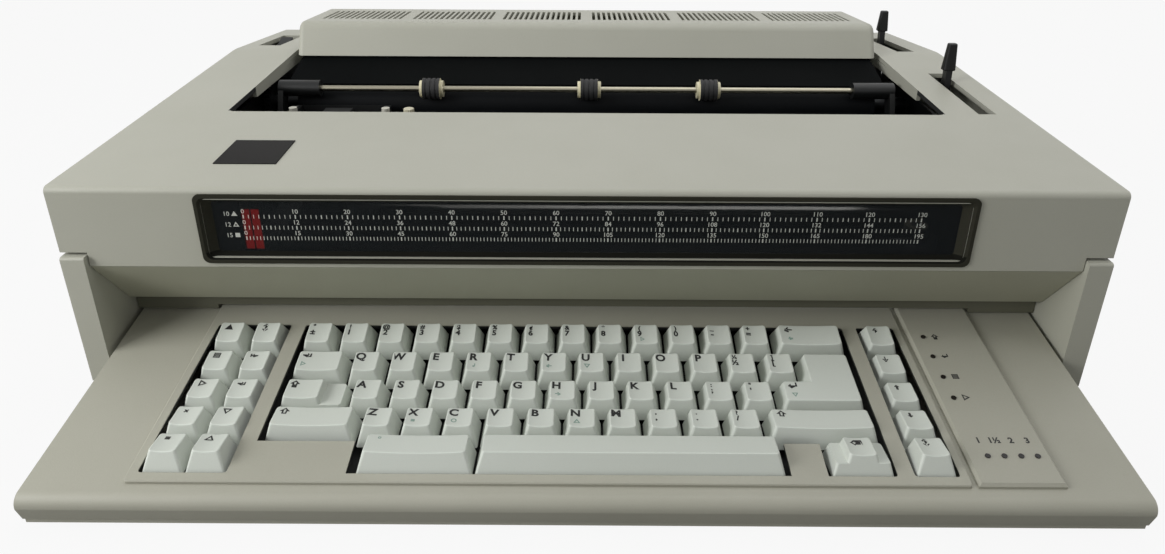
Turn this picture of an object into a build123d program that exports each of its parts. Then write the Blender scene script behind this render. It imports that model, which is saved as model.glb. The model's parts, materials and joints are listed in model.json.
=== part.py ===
from build123d import *
from math import cos, degrees, hypot, pi, radians, sin, tan
import os

# An electronic typewriter with a daisy wheel, in millimetres.
# The origin is the middle of its footprint on the table. +X is the typist's right,
# +Y runs from the keyboard to the back, +Z is up.

# Overall sizes
cover_width = 519.0            # the lifting top cover, its widest part
cover_depth = 353.0            # the cover's face to its rear edge
keyboard_reach = 92.5          # how far the keyboard stands out in front of the cover's face
overall_depth = keyboard_reach + cover_depth
foot_height = 14.0             # underside of the base above the table

# Clearances
seat_gap = 0.3                 # between pieces that only lie beside each other
seam = 1.5                     # the dark line between cover and base
running_gap = 0.05             # radial, shaft in bore

# Top cover
cover_wall = 3.0
face_low = 80.5                # lower edge of the face between the cheeks
face_top = 122.8               # front edge of the top
ridge_distance = 242.5         # face to the gentle kink along the top
ridge_top = 129.2
rear_top = 118.5
skirt_low = 88.0               # lower edge of the cover's sides and back
face_edge_radius = 3.0
ridge_radius = 90.0

# Opening over the platen
opening_half = 213.0
opening_front = 108.0          # behind the face
opening_back = 252.5
opening_corner = 4.0
lip_front = 154.5
lip_depth = 7.0
lip_wall = 2.5

# Hood behind the platen
hood_half = 208.5
hood_front = 220.5             # where its leaning front would meet the height rear_top
hood_crest = 238.0             # front edge of its top
hood_ridge = 314.5
hood_foot = 327.5
hood_front_top = 150.8
hood_rear_top = 145.0
hood_wall = 2.5
hood_edge_radius = 4.0
vent_groups = 6
vents_per_group = 15
vent_pitch = 4.0
vent_width = 2.2
vent_front = 254.5
vent_length = 43.0
vent_group_pitch = 66.8

# Slots for the levers and the mains switch
front_slot = (233.0, 243.5, 109.5, 190.5)       # left, right, front, back
rear_slot = (231.0, 243.5, 246.5, 316.5)
switch_slot = (-249.0, -233.0, 261.5, 316.5)

# Window with its scale
window_half = 188.7
window_low = 83.0
window_high = 120.0
window_border_x = 6.9
window_border_z = 5.0
window_proud = 1.0
window_corner = 3.5
window_flange = 3.0            # how far the frame overlaps the cover around its hole
glass_wall = 1.8

# Bare badge plate on the top
badge_size = 32.0
badge_left = -190.0
badge_distance = 29.5
badge_wall = 0.8
badge_sink = 0.4

# Base
base_inset = 1.0               # base side behind the cover's side
cheek_width = 11.8
cheek_lead = 3.3               # the cheeks stand this far in front of the face
cheek_length = 62.0
base_wall = 3.0
base_floor = 3.0
floor_front = 25.5             # the floor starts here, behind the keyboard's low part
foot_radius = 11.0
foot_inset_x = 34.0
foot_rear_inset = 25.0
foot_front_distance = 62.0
keyboard_foot_inset = 16.0      # keyboard's front edge to its front feet
rear_wall_drop = 3.0           # the base's back is lower than the cover's skirt by this

# Fixed chin under the cover's face
chin_wall = 2.5
chin_depth = 25.5
chin_low = 47.6
chin_lip = 5.5                 # step back below the chin, to its rear wall
chin_side_gap = 0.5

# Cover hinge
hinge_inset = 6.0              # pin to the cover's rear edge
hinge_rise = 6.0               # pin above the skirt's lower edge
hinge_x = 192.0
hinge_pin_radius = 2.5
hinge_eye_radius = 5.0
lug_wall = 4.0

# Side frames
frame_half = 224.0             # inner face of each steel side frame
frame_wall = 2.0
frame_front = 72.5
frame_back = 310.0
frame_top = 112.0
frame_flange = 8.0

# Platen and its drive
platen_distance = 201.5
platen_height = 102.0
platen_radius = 17.0
platen_core_radius = 14.0
platen_half = 198.0
platen_shaft = 5.0
gear_module = 1.0
gear_teeth = 32
pinion_teeth = 16
gear_width = 4.0
tooth_rise = 0.9               # tooth tip and root against the pitch circle, in modules
tooth_sink = 1.15
tooth_lean = 20.0              # pressure angle
pinion_angle = -55.8           # from the platen to the motor, below the horizontal
line_motor_radius = 18.0
line_motor_length = 24.0
motor_shaft_radius = 3.0
backlash = 0.35                # sideways play between the teeth

# Paper feed below the platen
feed_angle = -53.0
feed_radius = 6.0
feed_shaft = 2.5
feed_nip = 0.35
feed_half = 190.0
feed_wheels = 4
cradle_distance = 152.5        # cradle pivot
cradle_height = 70.0
cradle_half = 203.0            # outer face of the cradle's arms
cradle_wall = 2.5
cradle_pin = 4.0
cradle_reach = 139.0           # pivot to the tail's end
cradle_arm_half = 5.0
tail_top = 60.0
tail_depth = 6.0

# Paper guide plate under the hood
guide_half = 205.0
guide_front = 190.5
guide_front_top = 118.5
guide_back = 233.0
guide_wall = 1.5
guide_slope = 13.65
guide_corner = 9.0

# Paper bail and its lever
bail_pivot_distance = 169.5
bail_pivot_height = 88.0
bail_rod_distance = 182.5
bail_rod_height = 117.6
bail_rod_radius = 2.0
bail_visible_half = 180.0
bail_arm_outer = 207.5
bail_arm_wall = 3.5
bail_arm_half = 5.0            # half the width of an arm
bail_block_radius = 5.5
bail_pin = 4.0
roller_radius = 7.2
roller_width = 11.7
flange_width = 2.0
flange_radius = 5.6
roller_places = (-104.7, 1.9, 82.5)
groove_radius = 0.75           # of the ring that each groove is cut with
groove_room = 0.15             # that ring's middle outside the roller
groove_pitch = 3.25

# Lever knobs
lever_wall = 4.0
lever_width = 5.6
lever_boss_radius = 6.4
lever_x = 238.25
knob_low_width = 8.3
knob_top_width = 5.8
knob_length = 17.8
front_knob_low = 135.2
front_knob_distance = 173.0
release_distance = 297.5
release_height = 75.0
rear_knob_low = 131.0
rear_knob_distance = 305.5
rear_knob_length = 16.0
release_pin = 4.0
finger_drop = 11.5
finger_reach = 18.0
finger_radius = 3.0

# Carrier, its rails and its drive
carrier_rest_x = -165.0
carrier_half = 26.0
rail_radius = 6.0
front_rail = 85.5
rear_rail = 157.5
rail_height = 38.0
rail_block_half = 8.0          # half the height and depth of a block around its rail
carrier_margin = 2.0           # the carrier's floor beyond its bearing blocks
carrier_floor = 44.0
carrier_plate = 4.0
carrier_wall = 4.0
carrier_shelf = 95.0
wheel_radius = 33.0
wheel_distance = 178.0
wheel_wall = 1.0
wheel_hub_radius = 14.0
wheel_hub_length = 6.5
petal_count = 48
petal_width = 1.5
wheel_motor_radius = 20.0
wheel_motor_length = 40.0
hammer_radius = 2.0
hammer_travel = 2.2
hammer_drop = 3.0              # below the platen's middle
hammer_block_half = 9.0
hammer_block_back = 169.5
hammer_block_front = 145.5
belt_height = 48.5
belt_width = 5.0
belt_wall = 1.2
belt_distance = 107.5
pulley_radius = 7.0
pulley_inset = 12.0            # idler to the left frame
drive_inset = 17.0             # drive pulley to the right frame
carrier_motor_radius = 14.0
carrier_motor_height = 30.0

# Ribbon cartridge
cartridge_half = 56.0
cartridge_front = 103.5
cartridge_back = 157.5
cartridge_height = 14.5
notch_half = 12.0
notch_depth = 18.0
ribbon_arm_x = 30.0
ribbon_arm_width = 4.0
ribbon_arm_reach = 22.5
post_places = (-25.0, 35.0)
post_radius = 2.6
post_height = 4.2

# Red pointer behind the window
pointer_bar_width = 3.8
pointer_bar_gap = 0.9
pointer_gap = 1.2              # behind the glass
pointer_wall = 0.8
pointer_arm_height = 86.0
pointer_arm_wall = 1.5
pointer_arm_half = 6.0

# Power supply, board, inlet and switch at the back
supply_left = -215.0
supply_width = 155.0
supply_depth = 75.0
supply_height = 43.0
supply_front = 252.5
floor_vents = 12               # air slots in the floor below it and in its lid
lid_vents = 14
board_left = -45.0
board_width = 235.0
board_depth = 80.0
board_front = 252.5
board_rise = 10.0
board_wall = 1.6
board_post_inset = 8.0
board_post_radius = 4.0
chip_columns = 5
chip_rows = 2
chip_share = 0.67              # a chip's length against the pitch of the columns
inlet_x = -150.0
inlet_width = 27.5
inlet_height = 19.5
inlet_depth = 21.0
inlet_rise = 31.0
rocker_distance = 289.0
rocker_rise = 117.0
rocker_length = 26.0
rocker_width = 9.0
rocker_lean = 8.0
rocker_pin = 1.5
rocker_tip = 5.5               # its ends and its middle above the pin, and its keel below it
rocker_dip = 3.0
rocker_keel = 3.0

# Keyboard housing
keyboard_half = 244.0
keyboard_under = 57.5          # how far it runs back under the cover
keyboard_low = 3.0
keyboard_chin = 13.0           # height where the undercut of its front starts
undercut = 2.4                 # how far its lower edge lies back
case_step = 0.6                # the lower case's rim lies this far inside the upper case
deck_front_height = 18.2
deck_tilt = 8.42
deck_wall = 2.5
front_roundness = 5.5
key_pitch = 19.05
key_well_radius = 212.0        # the key tops follow a hollow curve of this radius
key_well_bottom = 70.6         # its lowest line, along the deck
key_well_rise = 3.0            # key tops above the deck there
bottom_row = 24.5              # middle of the lowest row, along the deck
row_count = 5
block_margin = 0.45            # between the outer keys' squares and their opening
front_margin = 1.4             # the same in front of the lowest row, which leans out
surround_wall = 1.8
surround_left = -200.6
surround_right = 168.0
surround_front = 8.9
main_left = -149.3
main_units = 15.0
left_block_left = -195.8
left_block_units = 2.0
right_block_left = 144.7
right_block_units = 1.0

# Keys
cap_height = 10.5
cap_gap = 1.1                  # less than a whole square, at the skirt
cap_top_inset = 7.0            # the top is narrower than its square by this
cap_top_depth = 12.5
cap_top_back = 0.85            # the top sits this far back on the skirt
cap_corner = 1.0
cap_top_corner = 1.6
cap_wall = 1.4
cap_edge = 0.6                 # rounding of the edges round its top
dish_depth = 0.7
key_travel = 3.5
stem_radius = 2.6
space_stems = 2.5              # the space bar's two stems, this many squares from its middle
guide_gap = 1.0                # between a pressed key and the guide under it
key_guide_wall = 2.0
low_step = 4.0                 # top of a key to its low shelf
return_units = (2.25, 1.5)     # squares that the return key spans in its lower and upper row
blank_units = ((0.0, 2.3), (12.6, 13.4))        # parts of the lowest row without a key
blank_inset = 3.0              # their plates end this far in front of the next row's squares
well_room = 1.5                # the case's openings are larger than the surround's by this
tray_step_gap = 6.0            # step of the lower case to the base's floor

# Status panel at the right of the keyboard
panel_left = 170.5
panel_width = 38.3
panel_front = 8.9
panel_back_margin = 27.0
panel_rise = 2.5
panel_bevel = 1.2
lamp_radius = 1.25
lamp_rise = 0.5
lamp_column_x = 177.8
lamp_column = (102.7, 88.0, 73.5, 59.5)         # along the deck
lamp_row_x = (180.0, 187.5, 195.0, 202.4)
lamp_row = 24.5

# Worked-out values
cover_half = cover_width / 2
base_half = cover_half - base_inset
cheek_inner = base_half - cheek_width
base_top = skirt_low - seam
floor_top = foot_height + base_floor
tilt = radians(deck_tilt)
gear_pitch_radius = gear_module * gear_teeth / 2
pinion_pitch_radius = gear_module * pinion_teeth / 2


def behind(distance):
    """Y of a point this far behind the cover's face."""
    return keyboard_reach + distance - overall_depth / 2


def from_front(distance):
    """Y of a point this far behind the keyboard's front edge."""
    return distance - overall_depth / 2


def deck_height(distance):
    """Height of the keyboard's deck this far behind its front edge."""
    return deck_front_height + distance * tan(tilt)


def slab(left, right, front, back, low, high, mode=Mode.ADD):
    """A box between six planes, in the piece that is being built."""
    with Locations(((left + right) / 2, (front + back) / 2, (low + high) / 2)):
        Box(right - left, back - front, high - low, mode=mode)


def rod(start_x, end_x, y, z, radius, mode=Mode.ADD):
    """A round bar along X, in the piece that is being built."""
    with Locations(((start_x + end_x) / 2, y, z)):
        Cylinder(radius, end_x - start_x, rotation=(0, 90, 0), mode=mode)


def between(first, second):
    """The two values in rising order, for a mirrored pair of planes."""
    return min(first, second), max(first, second)


def name_and_save(piece, name):
    """Label a finished piece and write it as its own file."""
    piece.label = name
    export_step(piece, f"parts/{name}.step")


os.makedirs("parts", exist_ok=True)
standing = (Align.CENTER, Align.CENTER, Align.MIN)

# Heights of the cover's top and of the slope behind the ridge
front_slope = (ridge_top - face_top) / ridge_distance
rear_slope = (rear_top - ridge_top) / (cover_depth - ridge_distance)


def cover_top_at(distance):
    """Height of the cover's top, this far behind the face."""
    if distance < ridge_distance:
        return face_top + front_slope * distance
    return ridge_top + rear_slope * (distance - ridge_distance)


# The cover's outer envelope, which the hood and the badge plate sit on
with BuildPart() as cover_envelope:
    with BuildSketch(Plane.YZ):
        Polygon(
            (behind(0), face_low),
            (behind(0), face_top),
            (behind(ridge_distance), ridge_top),
            (behind(cover_depth), rear_top),
            (behind(cover_depth), skirt_low),
            (behind(chin_depth), face_low),
            align=None,
        )
    extrude(amount=cover_half, both=True)
    long_edges = cover_envelope.edges().filter_by(Axis.X)
    fillet(long_edges.sort_by(Axis.Z)[-1], ridge_radius)
    long_edges = cover_envelope.edges().filter_by(Axis.X)
    fillet(long_edges.group_by(Axis.Y)[0].sort_by(Axis.Z)[-1], face_edge_radius)

# Top cover: one shell with its face, its openings and its hinge lugs
hinge_y = behind(cover_depth - hinge_inset)
hinge_z = skirt_low + hinge_rise
window_hole_half = window_half - window_flange
window_hole_low = window_low + window_flange
window_hole_high = window_high - window_flange
badge_middle = badge_distance + badge_size / 2
badge_plane = Plane(
    origin=(badge_left + badge_size / 2, behind(badge_middle), cover_top_at(badge_middle)),
    x_dir=(1, 0, 0),
    z_dir=(0, -front_slope, 1),
)
lip_low = cover_top_at(lip_front) - lip_depth
lip_high = cover_top_at(lip_front) - cover_wall / 2

with BuildPart() as top_cover:
    add(cover_envelope.part)
    with BuildSketch(Plane.YZ):
        Polygon(
            (behind(cover_wall), face_low - seam),
            (behind(cover_wall), face_top - cover_wall),
            (behind(ridge_distance), ridge_top - cover_wall),
            (behind(cover_depth - cover_wall), rear_top - cover_wall),
            (behind(cover_depth - cover_wall), face_low - seam),
            align=None,
        )
    extrude(amount=cover_half - cover_wall, both=True, mode=Mode.SUBTRACT)
    # the outer strips of the face and the sides end above the cheeks
    for side in (-1, 1):
        left, right = between(side * (cheek_inner - chin_side_gap), side * (cover_half + seam))
        slab(left, right, behind(-seam), behind(cover_depth + seam), face_low - seam,
             skirt_low, mode=Mode.SUBTRACT)
    # opening over the platen, with a short lip down each side
    for side in (-1, 1):
        left, right = between(side * opening_half, side * (opening_half + lip_wall))
        slab(left, right, behind(lip_front), behind(opening_back), lip_low, lip_high)
    with BuildSketch(Plane.XY.offset(rear_top - 2 * lip_depth)):
        with Locations((0, behind((opening_front + opening_back) / 2))):
            RectangleRounded(2 * opening_half, opening_back - opening_front, opening_corner)
    extrude(amount=4 * lip_depth, mode=Mode.SUBTRACT)
    # slots for the two levers and for the mains switch
    for left, right, front, back in (front_slot, rear_slot, switch_slot):
        slab(left, right, behind(front), behind(back), rear_top - 2 * cover_wall,
             ridge_top + cover_wall, mode=Mode.SUBTRACT)
    # hole for the window, and a shallow seat for the badge plate
    slab(-window_hole_half, window_hole_half, behind(-cover_wall), behind(2 * cover_wall),
         window_hole_low, window_hole_high, mode=Mode.SUBTRACT)
    with BuildSketch(badge_plane.offset(-badge_sink)):
        Rectangle(badge_size + seat_gap, badge_size + seat_gap)
    extrude(amount=cover_wall, mode=Mode.SUBTRACT)
    # notches in the back for the base's hinge lugs, and the cover's own lugs beside them
    for side in (-1, 1):
        notch_left = side * hinge_x - lug_wall / 2 - seat_gap
        slab(notch_left, notch_left + lug_wall + 2 * seat_gap,
             behind(cover_depth - 2 * cover_wall), behind(cover_depth + seam),
             skirt_low - seam, hinge_z + hinge_eye_radius + 2 * seam, mode=Mode.SUBTRACT)
        ear_left = side * (hinge_x + lug_wall + seat_gap) - lug_wall / 2
        slab(ear_left, ear_left + lug_wall, hinge_y - hinge_eye_radius,
             behind(cover_depth - cover_wall), hinge_z, hinge_z + 3 * hinge_eye_radius)
        rod(ear_left, ear_left + lug_wall, hinge_y, hinge_z, hinge_eye_radius)
        rod(ear_left - seam, ear_left + lug_wall + seam, hinge_y, hinge_z,
            hinge_pin_radius + running_gap, mode=Mode.SUBTRACT)
name_and_save(top_cover.part, "top_cover")

# Hinge pins, fixed in the base's lugs and turned about by the cover's
with BuildPart() as hinge_pins:
    for side in (-1, 1):
        left, right = between(side * (hinge_x - lug_wall / 2),
                              side * (hinge_x + 1.5 * lug_wall + seat_gap))
        rod(left, right, hinge_y, hinge_z, hinge_pin_radius)
name_and_save(hinge_pins.part, "hinge_pins")

# Window frame, bevelled inwards to the glass
window_height = window_high - window_low
window_middle = (window_high + window_low) / 2
face_plane = Plane(origin=(0, behind(0), window_middle), x_dir=(1, 0, 0), z_dir=(0, -1, 0))
with BuildPart() as window_frame:
    with BuildSketch(face_plane):
        RectangleRounded(2 * window_half, window_height, window_corner)
    extrude(amount=window_proud)
    slab(-window_hole_half + seat_gap, window_hole_half - seat_gap, behind(0),
         behind(cover_wall), window_hole_low + seat_gap, window_hole_high - seat_gap)
    with BuildSketch(face_plane.offset(window_proud)):
        RectangleRounded(2 * (window_half - window_corner / 2), window_height - window_corner,
                         window_corner)
    with BuildSketch(face_plane.offset(-cover_wall)):
        RectangleRounded(2 * (window_half - window_border_x),
                         window_height - 2 * window_border_z, window_corner / 2)
    loft(mode=Mode.SUBTRACT)
name_and_save(window_frame.part, "window_frame")

# Glass that carries the scale, flat against the back of the frame and the cover's wall
with BuildPart() as scale_glass:
    glass_half = window_hole_half + window_flange / 2
    slab(-glass_half, glass_half, behind(cover_wall), behind(cover_wall + glass_wall),
         window_hole_low - window_flange / 2, window_hole_high + window_flange / 2)
name_and_save(scale_glass.part, "scale_glass")

# Bare badge plate
with BuildPart() as badge_plate:
    with BuildSketch(badge_plane.offset(-badge_sink)):
        Rectangle(badge_size, badge_size)
    extrude(amount=badge_wall)
    fillet(badge_plate.faces().sort_by(Axis.Z)[-1].edges(), badge_wall / 4)
name_and_save(badge_plate.part, "badge_plate")

# Hood: a vented shell that stands on the cover behind the platen
hood_slope = (hood_rear_top - hood_front_top) / (hood_ridge - hood_crest)
front_run = (hood_crest - hood_front) / (hood_front_top - rear_top)
vent_plane = Plane(
    origin=(0, behind(vent_front + vent_length / 2),
            hood_front_top + hood_slope * (vent_front + vent_length / 2 - hood_crest)),
    x_dir=(1, 0, 0),
    z_dir=(0, -hood_slope, 1),
)
with BuildPart() as rear_hood:
    with BuildSketch(Plane.YZ):
        Polygon(
            (behind(hood_front), rear_top),
            (behind(hood_crest), hood_front_top),
            (behind(hood_ridge), hood_rear_top),
            (behind(hood_foot), rear_top),
            align=None,
        )
    extrude(amount=hood_half, both=True)
    fillet(rear_hood.edges().filter_by(Axis.X).sort_by(Axis.Z)[-2:], 2 * hood_edge_radius)
    ends = rear_hood.faces().sort_by(Axis.X)
    for end in (ends[0], ends[-1]):
        fillet(end.edges().sort_by(Axis.Z)[1:], hood_edge_radius)
    with BuildSketch(Plane.YZ):
        Polygon(
            (behind(hood_front + hood_wall * hypot(1, front_run)), rear_top),
            (behind(hood_crest + hood_wall), hood_front_top - hood_wall),
            (behind(hood_ridge - 2 * hood_wall), hood_rear_top - hood_wall),
            (behind(hood_foot - 2 * hood_wall), rear_top - hood_wall),
            align=None,
        )
    extrude(amount=hood_half - hood_wall, both=True, mode=Mode.SUBTRACT)
    add(cover_envelope.part, mode=Mode.SUBTRACT)
    with BuildSketch(vent_plane.offset(-2 * hood_wall)):
        with GridLocations(vent_group_pitch, 0, vent_groups, 1):
            with GridLocations(vent_pitch, 0, vents_per_group, 1):
                SlotOverall(vent_length, vent_width, rotation=90)
    extrude(amount=3 * hood_wall, mode=Mode.SUBTRACT)
name_and_save(rear_hood.part, "rear_hood")

# Base: floor, cheeks, sides, back, hinge lugs and the posts that carry what is inside
rear_wall_top = skirt_low - rear_wall_drop
base_back = behind(cover_depth) - seat_gap
supply_back = supply_front + supply_depth
rocker_y = behind(rocker_distance)
with BuildPart() as base_pan:
    slab(-base_half, base_half, behind(-cheek_lead), base_back, foot_height, base_top)
    edges_to_round = base_pan.edges().filter_by(Axis.Z) + base_pan.edges().filter_by(Axis.X)
    fillet(edges_to_round.group_by(Axis.Y)[0].group_by(Axis.Z)[-1], seam)
    # bay between the cheeks, open below for the keyboard's low part
    slab(-cheek_inner, cheek_inner, behind(-2 * cheek_lead), behind(cheek_length),
         floor_top, base_top + seam, mode=Mode.SUBTRACT)
    slab(-cheek_inner, cheek_inner, behind(-2 * cheek_lead), behind(floor_front),
         foot_height - seam, base_top + seam, mode=Mode.SUBTRACT)
    # room behind the cheeks
    inner_half = base_half - base_wall
    slab(-inner_half, inner_half, behind(cheek_length - seam), base_back - base_wall,
         floor_top, base_top + seam, mode=Mode.SUBTRACT)
    # the back and the last stretch of the sides are lower, for the cover to swing past
    slab(-base_half - seam, base_half + seam, hinge_y - 2 * hinge_eye_radius,
         base_back + seam, rear_wall_top, base_top + seam, mode=Mode.SUBTRACT)
    for side in (-1, 1):
        lug_left = side * hinge_x - lug_wall / 2
        slab(lug_left, lug_left + lug_wall, hinge_y - hinge_eye_radius, base_back - base_wall,
             floor_top, hinge_z)
        rod(lug_left, lug_left + lug_wall, hinge_y, hinge_z, hinge_eye_radius)
        rod(lug_left - seam, lug_left + lug_wall + seam, hinge_y, hinge_z,
            hinge_pin_radius, mode=Mode.SUBTRACT)
    # hole for the mains inlet
    inlet_low = floor_top + inlet_rise - inlet_height / 2
    slab(inlet_x - inlet_width / 2 - seat_gap, inlet_x + inlet_width / 2 + seat_gap,
         base_back - 2 * base_wall, base_back + seam, inlet_low - seat_gap,
         inlet_low + inlet_height + seat_gap, mode=Mode.SUBTRACT)
    # rows of air slots under the power supply
    with BuildSketch(Plane.XY.offset(foot_height - seam)):
        with Locations((supply_left + supply_width / 2, behind(supply_front + supply_depth / 2))):
            with GridLocations(supply_width / (floor_vents + 1), 0, floor_vents, 1):
                SlotOverall(vent_length, 1.5 * vent_width, rotation=90)
    extrude(amount=base_floor + 2 * seam, mode=Mode.SUBTRACT)
    # posts for the logic board and for the carrier belt's idler
    with BuildSketch(Plane.XY.offset(floor_top)):
        with Locations((board_left + board_width / 2, behind(board_front + board_depth / 2))):
            with GridLocations(board_width - 2 * board_post_inset,
                               board_depth - 2 * board_post_inset, 2, 2):
                Circle(board_post_radius)
    extrude(amount=board_rise)
    with BuildSketch(Plane.XY.offset(floor_top)):
        with Locations((pulley_inset - frame_half, behind(belt_distance))):
            Circle(motor_shaft_radius)
    extrude(amount=belt_height + belt_width + 3 * seat_gap - floor_top)
    with BuildSketch(Plane.XY.offset(floor_top)):
        with Locations((pulley_inset - frame_half, behind(belt_distance))):
            Circle(2 * motor_shaft_radius)
    extrude(amount=belt_height - 2 * seat_gap - floor_top)
    # tower with a fork for the mains rocker
    tower_middle = (switch_slot[0] + switch_slot[1]) / 2
    tower_half = rocker_width / 2 + seat_gap + base_wall / 2
    slab(tower_middle - tower_half, tower_middle + tower_half,
         rocker_y - rocker_length / 2, rocker_y + rocker_length / 2, floor_top,
         rocker_rise + rocker_pin + seam)
    slab(tower_middle - rocker_width / 2 - seat_gap, tower_middle + rocker_width / 2 + seat_gap,
         rocker_y - rocker_length, rocker_y + rocker_length,
         rocker_rise - rocker_length / 3, rocker_rise + rocker_length, mode=Mode.SUBTRACT)
    rod(tower_middle - 2 * tower_half, tower_middle + 2 * tower_half, rocker_y, rocker_rise,
        rocker_pin + running_gap, mode=Mode.SUBTRACT)
name_and_save(base_pan.part, "base_pan")

# Mains rocker, leaning to its off side
with BuildPart() as switch_rocker:
    with BuildSketch(Plane.YZ.offset(tower_middle)):
        with Locations((rocker_y, rocker_rise)):
            Polygon(
                (-rocker_length / 2, 0),
                (-rocker_length / 2, rocker_tip),
                (0, rocker_dip),
                (rocker_length / 2, rocker_tip),
                (rocker_length / 2, 0),
                (0, -rocker_keel),
                align=None,
                rotation=rocker_lean,
            )
    extrude(amount=rocker_width / 2, both=True)
    rod(tower_middle - tower_half, tower_middle + tower_half, rocker_y, rocker_rise, rocker_pin)
name_and_save(switch_rocker.part, "switch_rocker")

# Chin under the cover's face: a bent sheet between the cheeks, down to the keyboard
chin_back = chin_depth + chin_lip + chin_wall
chin_foot = deck_height(keyboard_reach + chin_back) + chin_side_gap
with BuildPart() as front_chin:
    with BuildSketch(Plane.YZ):
        with BuildLine():
            Polyline(
                (behind(2.5 * chin_wall), face_low - seat_gap),
                (behind(seat_gap), face_low - seat_gap),
                (behind(chin_depth), chin_low),
                (behind(chin_depth + chin_lip), chin_low),
                (behind(chin_depth + chin_lip), chin_foot),
                (behind(chin_back), chin_foot),
                (behind(chin_back), chin_low + chin_wall),
                (behind(chin_depth + chin_wall / 2), chin_low + chin_wall),
                (behind(2.5 * chin_wall), face_low - 2 * chin_wall),
                close=True,
            )
        make_face()
    extrude(amount=cheek_inner - chin_side_gap, both=True)
    # room for the plates that stand on the deck
    slab(surround_left - seam, panel_left + panel_width + seam, behind(chin_depth + seam),
         behind(chin_back + seam), chin_foot - seam, chin_foot + panel_rise / cos(tilt),
         mode=Mode.SUBTRACT)
name_and_save(front_chin.part, "front_chin")

# Side frames: two steel plates with a flange along the floor
platen_y = behind(platen_distance)
bail_y = behind(bail_pivot_distance)
cradle_y = behind(cradle_distance)
release_y = behind(release_distance)
frame_outer = frame_half + frame_wall
gear_distance = gear_pitch_radius + pinion_pitch_radius
pinion_y = platen_y + gear_distance * cos(radians(pinion_angle))
pinion_z = platen_height + gear_distance * sin(radians(pinion_angle))
with BuildPart() as side_frames:
    with BuildSketch(Plane.YZ.offset(frame_half)):
        Polygon(
            (behind(frame_front), floor_top),
            (behind(frame_front), bail_pivot_height),
            (behind(frame_front + 3 * frame_flange), frame_top),
            (behind(opening_back), frame_top),
            (behind(opening_back), release_height + 2 * release_pin),
            (behind(frame_back), release_height + 2 * release_pin),
            (behind(frame_back), floor_top),
            align=None,
        )
    extrude(amount=frame_wall)
    slab(frame_outer - frame_wall, frame_outer + frame_flange, behind(frame_front),
         behind(frame_back), floor_top, floor_top + frame_wall)
    mirror(about=Plane.YZ)
    for y, z, radius in (
        (platen_y, platen_height, platen_shaft),
        (bail_y, bail_pivot_height, bail_pin),
        (cradle_y, cradle_height, cradle_pin),
    ):
        rod(-frame_outer - seam, frame_outer + seam, y, z, radius + running_gap,
            mode=Mode.SUBTRACT)
    rod(0, frame_outer + seam, release_y, release_height, release_pin + running_gap,
        mode=Mode.SUBTRACT)
    rod(-frame_outer - seam, 0, pinion_y, pinion_z, motor_shaft_radius + seam,
        mode=Mode.SUBTRACT)
name_and_save(side_frames.part, "side_frames")

# Two rails for the carrier, between the frames
with BuildPart() as carrier_rails:
    for distance in (front_rail, rear_rail):
        rod(-frame_half, frame_half, behind(distance), rail_height, rail_radius)
name_and_save(carrier_rails.part, "carrier_rails")


def gear_outline(teeth, middle_x, y, z, first_tooth):
    """Outline of a spur gear across X, with the middle of one tooth at the angle given."""
    pitch_radius = gear_module * teeth / 2
    half_tooth = (pi * gear_module / 2 - backlash) / 2
    rise = tooth_rise * gear_module
    sink = tooth_sink * gear_module
    lean = tan(radians(tooth_lean))
    with BuildSketch(Plane.YZ.offset(middle_x)) as outline:
        with Locations((y, z)):
            Circle(pitch_radius - sink)
            with PolarLocations(pitch_radius, teeth, start_angle=first_tooth):
                Polygon(
                    (-sink - rise, -half_tooth - sink * lean),
                    (-sink, -half_tooth - sink * lean),
                    (rise, -half_tooth + rise * lean),
                    (rise, half_tooth - rise * lean),
                    (-sink, half_tooth + sink * lean),
                    (-sink - rise, half_tooth + sink * lean),
                    align=None,
                )
    return outline.sketch


# Platen: shaft and drum core with its gear, and the rubber over it
gear_x = -frame_half + gear_width
with BuildPart() as platen_core:
    rod(-frame_outer - seam, frame_outer + seam, platen_y, platen_height, platen_shaft)
    rod(-platen_half, platen_half, platen_y, platen_height, platen_core_radius)
    extrude(gear_outline(gear_teeth, gear_x, platen_y, platen_height, pinion_angle),
            amount=gear_width / 2, both=True)
name_and_save(platen_core.part, "platen_core")

with BuildPart() as platen_rubber:
    rod(-platen_half, platen_half, platen_y, platen_height, platen_radius)
    rod(-platen_half, platen_half, platen_y, platen_height, platen_core_radius,
        mode=Mode.SUBTRACT)
name_and_save(platen_rubber.part, "platen_rubber")

# Line-feed motor outside the left frame, carrier motor on the floor
drive_x = frame_half - drive_inset
belt_y = behind(belt_distance)
shaft_top = belt_height + belt_width + 3 * seat_gap
with BuildPart() as drive_motors:
    rod(-frame_outer - line_motor_length, -frame_outer, pinion_y, pinion_z, line_motor_radius)
    chamfer(drive_motors.edges().group_by(Axis.X)[0], seam)
    with Locations((drive_x, belt_y, floor_top)):
        Cylinder(carrier_motor_radius, carrier_motor_height, align=standing)
    chamfer(drive_motors.faces().filter_by(Axis.Z).sort_by(Axis.Z)[-1].edges(), seam)
    with Locations((drive_x, belt_y, floor_top)):
        Cylinder(motor_shaft_radius, shaft_top - floor_top, align=standing)
name_and_save(drive_motors.part, "drive_motors")

# Its pinion runs inside the frame
half_pinion_tooth = 180 / pinion_teeth
pinion_start = pinion_angle + 180 + half_pinion_tooth
with BuildPart() as line_pinion:
    rod(-frame_outer + seat_gap, gear_x, pinion_y, pinion_z, motor_shaft_radius)
    extrude(gear_outline(pinion_teeth, gear_x, pinion_y, pinion_z, pinion_start),
            amount=gear_width / 2, both=True)
name_and_save(line_pinion.part, "line_pinion")

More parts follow.
